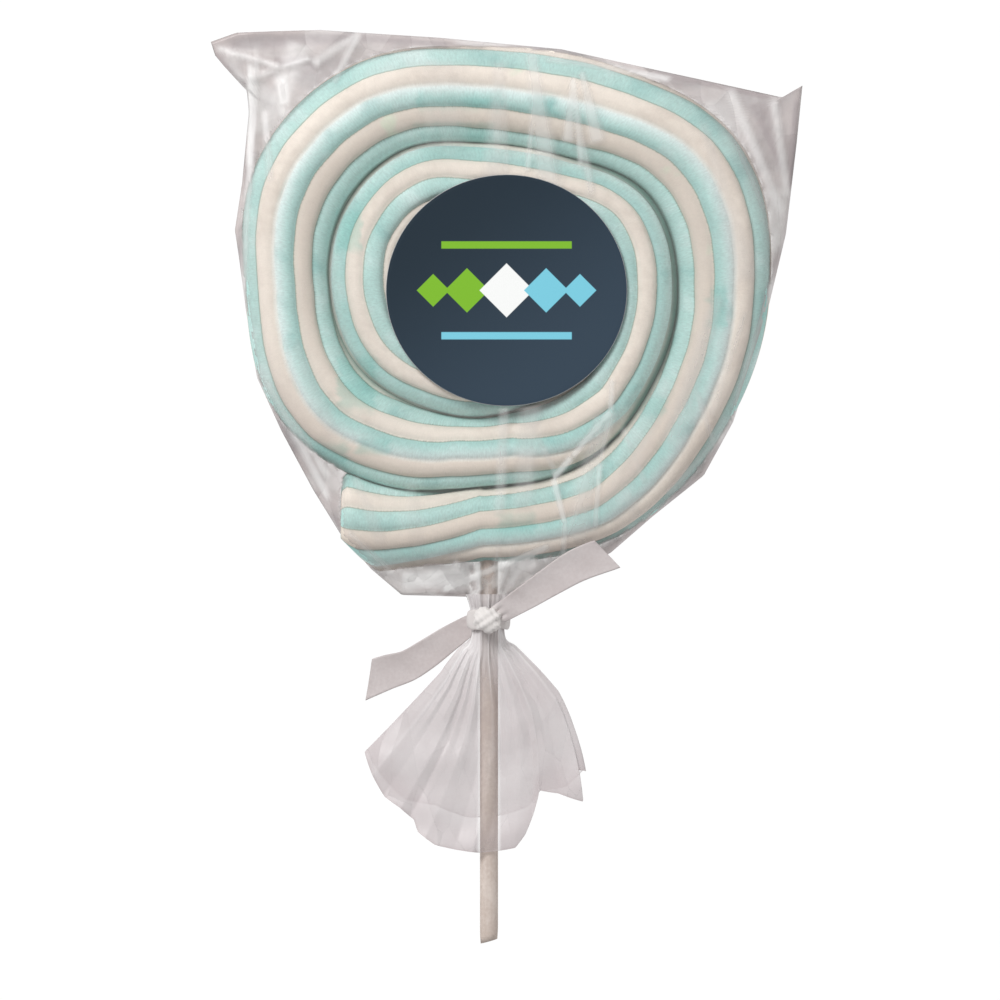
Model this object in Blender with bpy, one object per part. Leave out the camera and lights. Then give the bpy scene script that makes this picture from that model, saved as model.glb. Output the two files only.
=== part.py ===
# A marshmallow twist on a paper stick, tied in a clear bag and lying on its back.
# A rope of aqua and cream strands is coiled flat, with its cut end at the lower left.
# The bag's film, pulled tight over the coil, makes one solid with it; the label, the
# ribbon and the stick are solids of their own.
# Metres, +Z up. The origin is under the middle of the whole, on the surface it lies on.
# +Y points to the top of the bag and +Z out of the label.

import math

import bmesh
import bpy

MM = 0.001
GAP = 0.3 * MM

# Coil: its edge line is a spiral, given by its distance from the centre at every
# twelfth of a turn, from under the coil anticlockwise. One turn later the same line is
# the inner edge of the rope.
COIL_CENTRE = (-4.8 * MM, 39.9 * MM)
EDGE_STEP = 30
EDGE_START = -90
EDGE_RADII = [55.8, 57.9, 57.8, 59.7, 62.2, 54.9, 51.8, 55.2, 54.9, 49.9, 50.1, 45.9,
              40.6, 41.1, 39.8, 40.3, 40.0, 33.0, 31.3, 34.2, 34.0, 32.0, 30.2, 27.1,
              25.9, 24.7, 23.2, 22.6]
TURN_PITCH = 17.6 * MM
TURN_GAP = 0.4 * MM
COIL_END_ANGLE = 882
PIVOT_START_ANGLE = 765
PIVOT_DIRECTION = 240
PIVOT_RADIUS = 0.6 * MM
PIVOT_TRAVEL = 7.0 * MM
SECTION_STEP = 12
# The cut ends are rounded over this far, where the section is this much smaller.
END_ROUND = 0.9 * MM
END_SHRINK = 0.86

# Straight tail of the rope, from under the coil to its cut end.
TAIL_CUT_X = -34.2 * MM
TAIL_BOTTOM_AT_CUT = -18.2 * MM
TAIL_GAP = 0.5 * MM
TAIL_SECTIONS = 6
# Its lower corner is pressed back by the bag's slanting side: below this height, by this
# much for each millimetre, and less and less from the cut up to this x.
NIP_TOP = -11.0 * MM
NIP_SLOPE = 0.95
NIP_END_X = -12.0 * MM
HALVING_END = 0.01

# Section of the rope: strands side by side round a squarish oval, with a groove between.
COIL_THICKNESS = 16.5 * MM
MIDDLE = COIL_THICKNESS / 2
CROWN = 0.3 * MM
STRANDS = 14
STRAND_POINTS = 3
GROOVE_DEPTH = 0.75 * MM
# The grooves fade out on the rope's sides, where the turns press on each other.
GROOVE_FADE = [(0.5, 0.0), (0.8, 1.0)]
SECTION_POWER = 3.0
SECTION_SAMPLES = 240
# How far the strands have rolled round the rope, against the turns made.
STRAND_ROLL = [(-0.4, -7.7 * MM), (-0.2, -3.3 * MM), (0.0, 0.1 * MM), (0.2, 1.4 * MM),
               (0.4, -0.3 * MM), (0.61, -1.4 * MM), (0.74, 0.9 * MM), (0.89, -5.3 * MM),
               (1.0, -6.2 * MM), (1.5, -7.3 * MM)]

# Outline of the flat bag, from the left ear over the top and round to the neck, in
# millimetres. Its sides are straight creases between these points.
BAG_OUTLINE = [(-61.7, 92.4), (-56.3, 94.3), (-39.0, 94.9), (-14.2, 93.3), (11.3, 90.9),
               (30.0, 86.8), (57.3, 80.9), (61.6, 83.4), (60.4, 71.6), (58.1, 52.4),
               (53.3, 32.2), (47.1, 13.2), (41.0, 2.1), (30.4, -6.4), (21.5, -14.1),
               (11.0, -18.6), (0.2, -23.0), (-0.8, -25.5), (-7.5, -25.5), (-7.9, -23.2),
               (-21.9, -22.8), (-28.3, -17.4), (-34.6, -10.3), (-40.4, -0.9),
               (-47.0, 11.4), (-52.1, 22.5), (-54.4, 36.6), (-55.8, 47.2),
               (-56.7, 53.2), (-55.2, 63.0), (-53.8, 77.8), (-54.2, 82.2),
               (-58.8, 87.2), (-60.8, 89.6)]
OUTLINE_SEGMENT = 6.5 * MM
# Half the bag's thickness against the distance in from its outline, and half of it at
# the core, which lies inside the outer turn at this share of its edge's radius.
FLAP_RINGS = [(0.0, 0.4 * MM), (1.5 * MM, 0.7 * MM), (4.0 * MM, 1.8 * MM)]
FLAP_CROWD = 0.92
CORE_HALF_THICKNESS = 4.6 * MM
CORE_SHARE = 0.84
NECK_TOP = -22.0 * MM
NECK_HALF_THICKNESS = 2.6 * MM
FLAP_WAVE = 0.9 * MM
FLAP_WAVES = 9
FLAP_WAVE_REACH = 15.0 * MM

# Neck where the bag is tied, and the pleated skirt of film below it.
NECK_X = -3.95 * MM
NECK_RADIUS = 3.3 * MM
NECK_RINGS = [(-17.0 * MM, 7.5 * MM, 4.6 * MM), (-21.5 * MM, 5.0 * MM, 3.8 * MM),
              (-25.5 * MM, 3.3 * MM, 3.3 * MM), (-30.3 * MM, 3.3 * MM, 3.3 * MM)]
SKIRT_LEFT_ANGLE = -40.5
SKIRT_RIGHT_ANGLE = 35.0
# Length of the skirt's folds below the tie, evenly spaced from its left edge.
SKIRT_RIM = [39.8, 43.5, 47.2, 50.0, 51.2, 51.2, 49.5, 40.2, 42.0, 44.0, 36.0]
SKIRT_HALF_DEPTH = 3.9 * MM
SKIRT_RINGS = 7
SKIRT_POINTS = 44
SKIRT_PLEATS = 9
SKIRT_PLEAT_DEPTH = 0.55 * MM
FILM_WALL = 0.6 * MM
CAVITY_START = 0.16
CAVITY_END = 1.05
# How far below the tie the stick's hole runs on, into the hollow skirt.
HOLE_REACH = 13 * MM

# Paper stick, pushed up into the middle of the coil.
STICK_X = -3.75 * MM
STICK_RADIUS = 1.88 * MM
STICK_BOTTOM = -94.9 * MM
STICK_TOP = 36.0 * MM
STICK_SIDES = 24
STICK_BEVEL = 0.25 * MM

# Round label on the front of the bag, a little less high than wide.
LABEL_CENTRE = (-0.1 * MM, 40.4 * MM)
LABEL_RADIUS = 25.0 * MM
LABEL_HEIGHT_SHARE = 0.96
LABEL_THICKNESS = 0.35 * MM
LABEL_SIDES = 64

# Ribbon: a band round the neck, a knot in front of it and two flat ends.
RIBBON_THICKNESS = 0.7 * MM
RIBBON_STEPS = 3
BAND_Y = -27.9 * MM
BAND_HALF_HEIGHT = 1.9 * MM
BAND_THICKNESS = 0.9 * MM
BAND_ROUNDING = 0.2 * MM
BAND_SIDES = 28
KNOT_SIZE = (6.0 * MM, 5.4 * MM, 4.4 * MM)
KNOT_FOLDS = 5
KNOT_FOLD_DEPTH = 0.12
KNOT_CENTRE = (-3.9 * MM, -27.9 * MM, MIDDLE + 6.2 * MM)
# Middle line of each ribbon end: x, y, height and half its width there, in millimetres.
RIGHT_END = [(-3.4, -27.6, 14.2, 1.7), (0.5, -25.6, 14.7, 2.1), (4.2, -23.5, 15.1, 2.6),
             (9.0, -19.8, 15.4, 3.1), (14.5, -16.6, 15.7, 3.5), (20.8, -14.4, 15.6, 3.7)]
LEFT_END = [(-4.4, -27.9, 3.9, 1.6), (-8.0, -29.0, 3.6, 2.2), (-10.8, -31.0, 3.4, 2.4),
            (-15.4, -35.0, 3.1, 2.3), (-19.2, -37.6, 2.8, 2.6), (-24.0, -38.7, 2.5, 3.1),
            (-28.7, -40.6, 2.2, 3.7)]


def make_material(name, colour, roughness):
    material = bpy.data.materials.new(name)
    material.use_nodes = True
    shader = material.node_tree.nodes["Principled BSDF"]
    shader.inputs["Base Color"].default_value = (*colour, 1.0)
    shader.inputs["Roughness"].default_value = roughness
    shader.inputs["Metallic"].default_value = 0.0
    return material


def object_from(bm, name, material=None):
    bmesh.ops.recalc_face_normals(bm, faces=bm.faces)
    mesh = bpy.data.meshes.new(name)
    bm.to_mesh(mesh)
    bm.free()
    solid = bpy.data.objects.new(name, mesh)
    bpy.context.scene.collection.objects.link(solid)
    if material:
        mesh.materials.append(material)
        mesh.shade_smooth()
        mesh.set_sharp_from_angle(angle=math.radians(40))
    return solid


def zip_cap(bm, ring, flip):
    # Closes a flattened ring by a strip between its front and back halves.
    count = len(ring)
    half = count // 2
    faces = [(ring[0], ring[1], ring[-1]), (ring[half - 1], ring[half], ring[half + 1])]
    for k in range(1, half - 1):
        faces.append((ring[k], ring[k + 1], ring[count - k - 1], ring[count - k]))
    for face in faces:
        bm.faces.new(tuple(reversed(face)) if flip else face)


def loft(rings, zipped=()):
    # A closed solid through rings with the same number of points. Its caps are flat,
    # apart from the first (0) or last (-1) where zipped names it.
    bm = bmesh.new()
    rows = []
    for ring in rings:
        rows.append([bm.verts.new(point) for point in ring])
    count = len(rows[0])
    for near, far in zip(rows, rows[1:]):
        for i in range(count):
            j = (i + 1) % count
            bm.faces.new((near[i], near[j], far[j], far[i]))
    for end, flip in ((0, True), (-1, False)):
        if end in zipped:
            zip_cap(bm, rows[end], flip)
        else:
            bm.faces.new(list(reversed(rows[end])) if flip else rows[end])
    return bm


def along(table, x):
    # Value of a table of (x, value) pairs at x, straight between its rows.
    if x <= table[0][0]:
        return table[0][1]
    for (x0, y0), (x1, y1) in zip(table, table[1:]):
        if x <= x1:
            return y0 + (y1 - y0) * (x - x0) / (x1 - x0)
    return table[-1][1]


def smooth_through(points, position):
    # Catmull-Rom value at a position counted in points.
    last = len(points) - 1
    i = min(max(int(math.floor(position)), 0), last - 1)
    f = position - i
    p0, p1, p2, p3 = (points[min(max(k, 0), last)] for k in (i - 1, i, i + 1, i + 2))
    return (p1 + 0.5 * f * (p2 - p0)
            + f * f * (p0 - 2.5 * p1 + 2.0 * p2 - 0.5 * p3)
            + f * f * f * 0.5 * (3.0 * (p1 - p2) + p3 - p0))


def edge_radius(angle):
    # Distance of the spiral edge line from the coil's centre.
    last_angle = EDGE_START + EDGE_STEP * (len(EDGE_RADII) - 1)
    if angle > last_angle:
        return edge_radius(angle - 360) - TURN_PITCH
    return smooth_through(EDGE_RADII, (angle - EDGE_START) / EDGE_STEP) * MM


def polar(radius, angle):
    turn = math.radians(angle)
    return (COIL_CENTRE[0] + radius * math.cos(turn),
            COIL_CENTRE[1] + radius * math.sin(turn))


def rope_edges(angle):
    # Outer and inner edge points of the rope at an angle. Near its inner end the rope
    # turns about a pivot that slides out from the coil's centre.
    outer = polar(edge_radius(angle), angle)
    if angle < PIVOT_START_ANGLE:
        inner = polar(max(edge_radius(angle + 360), PIVOT_RADIUS), angle)
    else:
        slide = (angle - PIVOT_START_ANGLE) / (COIL_END_ANGLE - PIVOT_START_ANGLE)
        inner = polar(PIVOT_RADIUS + slide * PIVOT_TRAVEL, PIVOT_DIRECTION)
    return outer, inner


def coil_underside(x):
    # Height of the first turn's lower edge at x, found by halving the angles between
    # the coil's left side and its lowest point.
    left = 200.0
    right = 270.0
    while right - left > HALVING_END:
        angle = (left + right) / 2
        if polar(edge_radius(angle), angle)[0] > x:
            right = angle
        else:
            left = angle
    return polar(edge_radius(angle), angle)[1]


def tail_edges(x):
    # Lower and upper edge points of the straight tail at x.
    start = polar(edge_radius(EDGE_START), EDGE_START)
    share = (start[0] - x) / (start[0] - TAIL_CUT_X)
    bottom = start[1] + share * (TAIL_BOTTOM_AT_CUT - start[1])
    return (x, bottom), (x, coil_underside(x) - TAIL_GAP)


def nipped(ring):
    # The tail's ring with its lower corner pressed back.
    points = []
    for x, y, z in ring:
        fade = min(max((NIP_END_X - x) / (NIP_END_X - TAIL_CUT_X), 0.0), 1.0)
        points.append((x + NIP_SLOPE * max(NIP_TOP - y, 0.0) * fade, y, z))
    return points


def section_outline(half_width):
    # Points round the rope's section at even steps of its own length, from the front.
    half_height = MIDDLE + CROWN
    curve = []
    for k in range(SECTION_SAMPLES + 1):
        turn = 2 * math.pi * k / SECTION_SAMPLES
        c = math.cos(turn)
        s = math.sin(turn)
        side = math.copysign(abs(s) ** (2 / SECTION_POWER), s) * half_width
        height = math.copysign(abs(c) ** (2 / SECTION_POWER), c) * half_height
        curve.append((side, height))
    lengths = [0.0]
    for a, b in zip(curve, curve[1:]):
        lengths.append(lengths[-1] + math.dist(a, b))
    return curve, lengths


def rope_section(outer, inner, turns, shrink=1.0, shift=(0.0, 0.0)):
    # One ring of points round the rope between its two edge points.
    width = math.dist(outer, inner)
    half_width = (width - TURN_GAP) / 2
    middle = ((outer[0] + inner[0]) / 2, (outer[1] + inner[1]) / 2)
    across = ((inner[0] - outer[0]) / width, (inner[1] - outer[1]) / width)
    curve, lengths = section_outline(half_width)
    total = lengths[-1]
    roll = along(STRAND_ROLL, turns)
    count = STRANDS * STRAND_POINTS
    ring = []
    starts = [((i - STRAND_POINTS / 2) / count * total + roll) % total
              for i in range(count)]
    for i, start in enumerate(starts):
        k = max(n for n in range(len(lengths) - 1) if lengths[n] <= start)
        f = (start - lengths[k]) / (lengths[k + 1] - lengths[k])
        side = curve[k][0] + f * (curve[k + 1][0] - curve[k][0])
        height = curve[k][1] + f * (curve[k + 1][1] - curve[k][1])
        if i % STRAND_POINTS == 0:
            depth = GROOVE_DEPTH * along(GROOVE_FADE, abs(height) / MIDDLE)
            reach = math.hypot(side, height)
            side *= 1 - depth / reach
            height *= 1 - depth / reach
        height = max(-MIDDLE, min(MIDDLE, height))
        ring.append((middle[0] + across[0] * side * shrink + shift[0],
                     middle[1] + across[1] * side * shrink + shift[1],
                     MIDDLE + height * shrink))
    return ring


def add_rope():
    # The rope from its cut end, along the tail and round the coil to its inner end.
    start_x = polar(edge_radius(EDGE_START), EDGE_START)[0]
    turns_at_cut = STRAND_ROLL[0][0]
    rings = [nipped(rope_section(*tail_edges(TAIL_CUT_X), turns_at_cut, END_SHRINK,
                                 (-END_ROUND, 0.0)))]
    for k in range(TAIL_SECTIONS):
        share = k / TAIL_SECTIONS
        x = TAIL_CUT_X + share * (start_x - TAIL_CUT_X)
        turns = turns_at_cut + share * (EDGE_START / 360 - turns_at_cut)
        rings.append(nipped(rope_section(*tail_edges(x), turns)))
    count = round((COIL_END_ANGLE - EDGE_START) / SECTION_STEP)
    for k in range(count + 1):
        angle = EDGE_START + (COIL_END_ANGLE - EDGE_START) * k / count
        rings.append(rope_section(*rope_edges(angle), angle / 360))
    outer, inner = rope_edges(COIL_END_ANGLE)
    reach = END_ROUND / math.dist(outer, inner)
    shift = ((outer[1] - inner[1]) * -reach, (outer[0] - inner[0]) * reach)
    rings.append(rope_section(outer, inner, COIL_END_ANGLE / 360, END_SHRINK, shift))
    return object_from(loft(rings), "rope")


def bag_outline():
    # The outline with its long sides cut into shorter ones.
    points = [(x * MM, y * MM) for x, y in BAG_OUTLINE]
    outline = []
    for a, b in zip(points, points[1:] + points[:1]):
        steps = max(1, round(math.dist(a, b) / OUTLINE_SEGMENT))
        for k in range(steps):
            f = k / steps
            outline.append((a[0] + f * (b[0] - a[0]), a[1] + f * (b[1] - a[1])))
    return outline


def add_flaps():
    # The flat film round the coil, front and back sheets together, thickening towards
    # the coil like a tent.
    outline = bag_outline()
    layers = []
    for side in (1, -1):
        for distance, half in FLAP_RINGS + [(math.inf, CORE_HALF_THICKNESS)]:
            ring = []
            for x, y in outline:
                dx = x - COIL_CENTRE[0]
                dy = y - COIL_CENTRE[1]
                reach = math.hypot(dx, dy)
                angle = math.degrees(math.atan2(dy, dx))
                if angle < EDGE_START:
                    angle += 360
                room = reach - CORE_SHARE * edge_radius(angle)
                inset = room if distance == math.inf else min(distance, FLAP_CROWD * room)
                thick = max(half, NECK_HALF_THICKNESS) if y < NECK_TOP else half
                outside = max(reach - edge_radius(angle), 0.0) / FLAP_WAVE_REACH
                wave = FLAP_WAVE * min(outside, 1.0) * math.sin(
                    FLAP_WAVES * math.radians(angle))
                share = 1 - inset / reach
                ring.append((COIL_CENTRE[0] + dx * share, COIL_CENTRE[1] + dy * share,
                             MIDDLE + side * thick + wave))
            layers.append(ring)
    front = list(reversed(layers[:len(FLAP_RINGS) + 1]))
    back = layers[len(FLAP_RINGS) + 1:]
    return object_from(loft(front + back), "flaps")


def skirt_ring(share, half_depth, wall):
    # One ring round the skirt at a share of its length. The folds fan out from a point
    # inside the tie, placed so that they start as wide as the neck.
    left = math.radians(SKIRT_LEFT_ANGLE)
    right = math.radians(SKIRT_RIGHT_ANGLE)
    spread = (right - left) / 2
    apex_gap = NECK_RADIUS / math.sin(spread)
    apex_y = NECK_RINGS[-1][0] + apex_gap * math.cos(spread)
    ring = []
    for k in range(SKIRT_POINTS):
        turn = 2 * math.pi * k / SKIRT_POINTS
        f = (1 - math.cos(turn)) / 2
        rim = smooth_through(SKIRT_RIM, f * (len(SKIRT_RIM) - 1)) * MM
        reach = apex_gap + share * (rim - apex_gap)
        inset = wall / reach
        angle = left + inset + f * (right - left - 2 * inset)
        pleat = SKIRT_PLEAT_DEPTH * share * math.cos(2 * math.pi * SKIRT_PLEATS * f)
        bulge = math.sin(turn)
        height = bulge * (half_depth - wall)
        height += math.copysign(math.sqrt(abs(bulge)), bulge) * pleat
        ring.append((NECK_X + reach * math.sin(angle), apex_y - reach * math.cos(angle),
                     MIDDLE + height))
    return ring


def add_neck_and_skirt():
    rings = []
    for y, half_width, half_depth in NECK_RINGS:
        ring = []
        for k in range(SKIRT_POINTS):
            turn = 2 * math.pi * k / SKIRT_POINTS
            ring.append((NECK_X - half_width * math.cos(turn), y,
                         MIDDLE + half_depth * math.sin(turn)))
        rings.append(ring)
    for k in range(1, SKIRT_RINGS + 1):
        share = k / SKIRT_RINGS
        half_depth = NECK_RADIUS + (SKIRT_HALF_DEPTH - NECK_RADIUS) * share
        rings.append(skirt_ring(share, half_depth, 0.0))
    return object_from(loft(rings, (-1,)), "neck_and_skirt")


def add_skirt_cavity():
    rings = []
    for k in range(SKIRT_RINGS + 1):
        share = CAVITY_START + (CAVITY_END - CAVITY_START) * k / SKIRT_RINGS
        half_depth = NECK_RADIUS + (SKIRT_HALF_DEPTH - NECK_RADIUS) * min(share, 1.0)
        rings.append(skirt_ring(share, half_depth, FILM_WALL))
    return object_from(loft(rings, (0, -1)), "skirt_cavity")


def rod(x, bottom, top, radius, sides):
    rings = []
    for y in (bottom, top):
        ring = []
        for k in range(sides):
            turn = 2 * math.pi * k / sides
            ring.append((x + radius * math.cos(turn), y,
                         MIDDLE + radius * math.sin(turn)))
        rings.append(ring)
    return loft(rings)


def join(base, others, name, material):
    # One union of a solid with others, applied, with the others then removed.
    group = bpy.data.collections.new(name + "_parts")
    for other in others:
        group.objects.link(other)
    fuse = base.modifiers.new("Join", "BOOLEAN")
    fuse.operation = "UNION"
    fuse.operand_type = "COLLECTION"
    fuse.collection = group
    fuse.solver = "MANIFOLD"
    depsgraph = bpy.context.evaluated_depsgraph_get()
    mesh = bpy.data.meshes.new_from_object(base.evaluated_get(depsgraph))
    base.modifiers.clear()
    base.data = mesh
    base.name = name
    mesh.name = name
    mesh.materials.clear()
    mesh.materials.append(material)
    for other in others:
        bpy.data.objects.remove(other)
    bpy.data.collections.remove(group)
    return base


def cut(solid, cutter):
    # Cuts a hollow into a solid, applied, with the cutter then removed.
    groove = solid.modifiers.new("Cut", "BOOLEAN")
    groove.operation = "DIFFERENCE"
    groove.object = cutter
    groove.solver = "EXACT"
    depsgraph = bpy.context.evaluated_depsgraph_get()
    mesh = bpy.data.meshes.new_from_object(solid.evaluated_get(depsgraph))
    solid.modifiers.clear()
    solid.data = mesh
    mesh.name = solid.name
    bpy.data.objects.remove(cutter)


def make_filled_bag():
    film = make_material("filled_bag", (0.66, 0.79, 0.76), 0.45)
    bag = join(add_flaps(), [add_rope(), add_neck_and_skirt()], "filled_bag", film)
    cut(bag, add_skirt_cavity())
    hole = rod(STICK_X, NECK_RINGS[-1][0] - HOLE_REACH, STICK_TOP + GAP,
               STICK_RADIUS + GAP, STICK_SIDES)
    cut(bag, object_from(hole, "stick_hole"))
    bag.data.shade_smooth()
    bag.data.set_sharp_from_angle(angle=math.radians(35))


def make_stick():
    paper = make_material("stick", (0.58, 0.50, 0.44), 0.8)
    bm = rod(STICK_X, STICK_BOTTOM, STICK_TOP, STICK_RADIUS, STICK_SIDES)
    rims = [e for e in bm.edges if abs(e.verts[0].co.y - e.verts[1].co.y) < GAP]
    bmesh.ops.bevel(bm, geom=rims, offset=STICK_BEVEL, segments=1, profile=0.5,
                    affect="EDGES", material=-1)
    object_from(bm, "stick", paper)


def make_label():
    card = make_material("label", (0.035, 0.05, 0.07), 0.5)
    bm = bmesh.new()
    bmesh.ops.create_cone(bm, cap_ends=True, segments=LABEL_SIDES, radius1=LABEL_RADIUS,
                          radius2=LABEL_RADIUS, depth=LABEL_THICKNESS)
    bmesh.ops.scale(bm, verts=bm.verts, vec=(1.0, LABEL_HEIGHT_SHARE, 1.0))
    label = object_from(bm, "label", card)
    label.location = (*LABEL_CENTRE, COIL_THICKNESS + GAP + LABEL_THICKNESS / 2)


def ribbon_end(points, name):
    # A flat band along its middle line, as wide as given at each point.
    rings = []
    half = RIBBON_THICKNESS / 2
    steps = RIBBON_STEPS * (len(points) - 1)
    columns = [[p[axis] for p in points] for axis in range(4)]
    line = []
    for k in range(steps + 1):
        position = k / RIBBON_STEPS
        line.append([smooth_through(column, position) * MM for column in columns])
    for k, (x, y, z, half_width) in enumerate(line):
        ahead = line[min(k + 1, steps)]
        behind = line[max(k - 1, 0)]
        dx = ahead[0] - behind[0]
        dy = ahead[1] - behind[1]
        length = math.hypot(dx, dy)
        side = (-dy / length * half_width, dx / length * half_width)
        rings.append([(x + side[0], y + side[1], z - half),
                      (x - side[0], y - side[1], z - half),
                      (x - side[0], y - side[1], z + half),
                      (x + side[0], y + side[1], z + half)])
    return object_from(loft(rings), name)


def add_knot():
    bm = bmesh.new()
    bmesh.ops.create_icosphere(bm, subdivisions=2, radius=0.5)
    for vertex in bm.verts:
        turn = math.atan2(vertex.co.y, vertex.co.x)
        crease = 1 - KNOT_FOLD_DEPTH * math.cos(KNOT_FOLDS * turn)
        for axis in range(3):
            vertex.co[axis] = (KNOT_CENTRE[axis]
                               + vertex.co[axis] * KNOT_SIZE[axis] * crease)
    return object_from(bm, "knot")


def add_band():
    # The band is a turned ring with round sides.
    bm = bmesh.new()
    inner = NECK_RADIUS + GAP
    outer = inner + BAND_THICKNESS
    side = outer - BAND_ROUNDING
    profile = [(inner, -BAND_HALF_HEIGHT), (side, -BAND_HALF_HEIGHT), (outer, 0.0),
               (side, BAND_HALF_HEIGHT), (inner, BAND_HALF_HEIGHT)]
    verts = [bm.verts.new((NECK_X + radius, BAND_Y + rise, MIDDLE))
             for radius, rise in profile]
    edges = [bm.edges.new((a, b)) for a, b in zip(verts, verts[1:] + verts[:1])]
    bmesh.ops.spin(bm, geom=verts + edges, cent=(NECK_X, BAND_Y, MIDDLE), axis=(0, 1, 0),
                   angle=2 * math.pi, steps=BAND_SIDES, use_merge=True)
    return object_from(bm, "band")


def make_ribbon():
    satin = make_material("ribbon", (0.58, 0.53, 0.52), 0.5)
    others = [add_knot(), ribbon_end(RIGHT_END, "right_end"),
              ribbon_end(LEFT_END, "left_end")]
    ribbon = join(add_band(), others, "ribbon", satin)
    ribbon.data.shade_smooth()
    ribbon.data.set_sharp_from_angle(angle=math.radians(35))


for leftover in list(bpy.data.objects):
    bpy.data.objects.remove(leftover)
make_filled_bag()
make_stick()
make_label()
make_ribbon()
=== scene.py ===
# A marshmallow twist lollipop in a clear bag, tied with ribbon, with a label on its front.
# Metres throughout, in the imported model's frame: +Y up the stick, +Z out of the label.
# The settings of each piece are in millimetres and turned to metres when its mesh is made.

import math

import bmesh
import bpy
import numpy as np
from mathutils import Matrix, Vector
from mathutils.bvhtree import BVHTree


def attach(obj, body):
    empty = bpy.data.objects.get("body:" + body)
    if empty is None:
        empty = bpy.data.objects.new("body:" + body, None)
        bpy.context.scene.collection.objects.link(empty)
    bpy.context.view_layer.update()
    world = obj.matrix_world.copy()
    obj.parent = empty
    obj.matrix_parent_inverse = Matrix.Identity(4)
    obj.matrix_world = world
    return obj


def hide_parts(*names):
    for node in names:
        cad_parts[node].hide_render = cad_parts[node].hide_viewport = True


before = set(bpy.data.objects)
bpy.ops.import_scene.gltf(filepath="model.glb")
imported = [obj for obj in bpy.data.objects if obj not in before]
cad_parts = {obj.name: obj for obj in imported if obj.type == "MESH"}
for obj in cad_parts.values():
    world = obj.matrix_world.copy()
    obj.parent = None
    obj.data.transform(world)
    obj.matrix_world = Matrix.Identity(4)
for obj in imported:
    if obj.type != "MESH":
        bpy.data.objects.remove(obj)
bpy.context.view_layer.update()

mm = 0.001
middle = 8.25               # height of the coil's, the stick's and the bag edge's middle plane


# Small helpers

def smoothThrough(points, place):
    # Catmull-Rom value at places counted in points.
    points = np.asarray(points, float)
    last = len(points) - 1
    i = np.clip(np.floor(place).astype(int), 0, last - 1)
    f = place - i
    p0, p1, p2, p3 = (points[np.clip(i + k, 0, last)] for k in (-1, 0, 1, 2))
    return (p1 + 0.5 * f * (p2 - p0) + f ** 2 * (p0 - 2.5 * p1 + 2 * p2 - 0.5 * p3)
            + 0.5 * f ** 3 * (3 * (p1 - p2) + p3 - p0))


def ease(low, high, x):
    # Smooth step from 0 at low to 1 at high.
    t = np.clip((x - low) / (high - low), 0, 1)
    return t * t * (3 - 2 * t)


def along(table, x):
    rows = np.asarray(table, float)
    return np.interp(x, rows[:, 0], rows[:, 1])


def wander(x, waves, seed):
    # Smooth random curve of about unit height with the given wavelengths.
    draw = np.random.default_rng(seed)
    total = np.zeros_like(x, dtype=float)
    for wave in waves:
        total += np.sin(2 * np.pi * (x / wave + draw.random())) / len(waves)
    return total


def crumple(x, y, wavelength, seed, count=5):
    # Flat facets between straight ridges, from -0.5 to 0.5, like film that was crushed.
    draw = np.random.default_rng(seed)
    total = np.zeros_like(x)
    for _ in range(count):
        turn = draw.uniform(0, np.pi)
        length = wavelength * draw.uniform(0.7, 1.5)
        run = (x * np.cos(turn) + y * np.sin(turn)) / length + draw.random()
        side = x * np.sin(turn) - y * np.cos(turn)
        bend = wander(side, (length * 4.1, length * 2.3), draw.integers(999))
        total += np.abs((run + 0.22 * bend) % 1 * 2 - 1) - 0.5
    return total / count


def meshPoints(mesh):
    # The x, y and z of its points, in metres.
    flat = np.empty(len(mesh.vertices) * 3, np.float32)
    mesh.vertices.foreach_get("co", flat)
    return flat.reshape(-1, 3).T


def addMask(mesh, name, values):
    data = mesh.attributes.new(name, "FLOAT", "POINT").data
    data.foreach_set("value", values.astype(np.float32))


def gridMesh(columns, rows, shape, name, uvOf=None, closed=True):
    # A grid whose points go where shape(u, v) puts them, both from 0 to 1, in millimetres.
    # closed joins its left and right sides, and points that meet become one.
    bm = bmesh.new()
    bmesh.ops.create_grid(bm, x_segments=columns, y_segments=rows, size=0.5)
    mesh = bpy.data.meshes.new(name)
    bm.to_mesh(mesh)
    bm.free()
    x, y, _ = meshPoints(mesh)
    u = np.rint((x + 0.5) * columns) / columns
    v = np.rint((y + 0.5) * rows) / rows
    points, masks = shape(u, v)
    mesh.vertices.foreach_set("co", (points * mm).astype(np.float32).ravel())
    if uvOf:
        corner = np.empty(len(mesh.loops), np.int32)
        mesh.loops.foreach_get("vertex_index", corner)
        chart = np.stack(uvOf(u, v), 1)[corner]
        layer = mesh.uv_layers.new(name="lay")
        layer.uv.foreach_set("vector", chart.astype(np.float32).ravel())
    for mask, values in masks.items():
        addMask(mesh, mask, values)
    if closed:
        bm = bmesh.new()
        bm.from_mesh(mesh)
        bmesh.ops.remove_doubles(bm, verts=bm.verts, dist=1e-6)
        bmesh.ops.dissolve_degenerate(bm, dist=1e-7, edges=bm.edges)
        bmesh.ops.recalc_face_normals(bm, faces=bm.faces)
        bm.to_mesh(mesh)
        bm.free()
    return mesh


def joinMeshes(meshes):
    bm = bmesh.new()
    for mesh in meshes:
        bm.from_mesh(mesh)
    return bm


def addObject(name, data):
    thing = bpy.data.objects.new(name, data)
    bpy.context.scene.collection.objects.link(thing)
    return thing


def addPiece(mesh, material, slot, *nodes):
    # A finished piece rides on the whole, stands for its nodes and is shaded smooth.
    piece = addObject(mesh.name, mesh)
    mesh.materials.clear()
    mesh.materials.append(material)
    mesh.shade_smooth()
    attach(piece, "root")
    if nodes:
        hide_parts(*nodes)
    print(mesh.name, len(mesh.polygons), "faces")
    return piece


# Shader helpers

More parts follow.
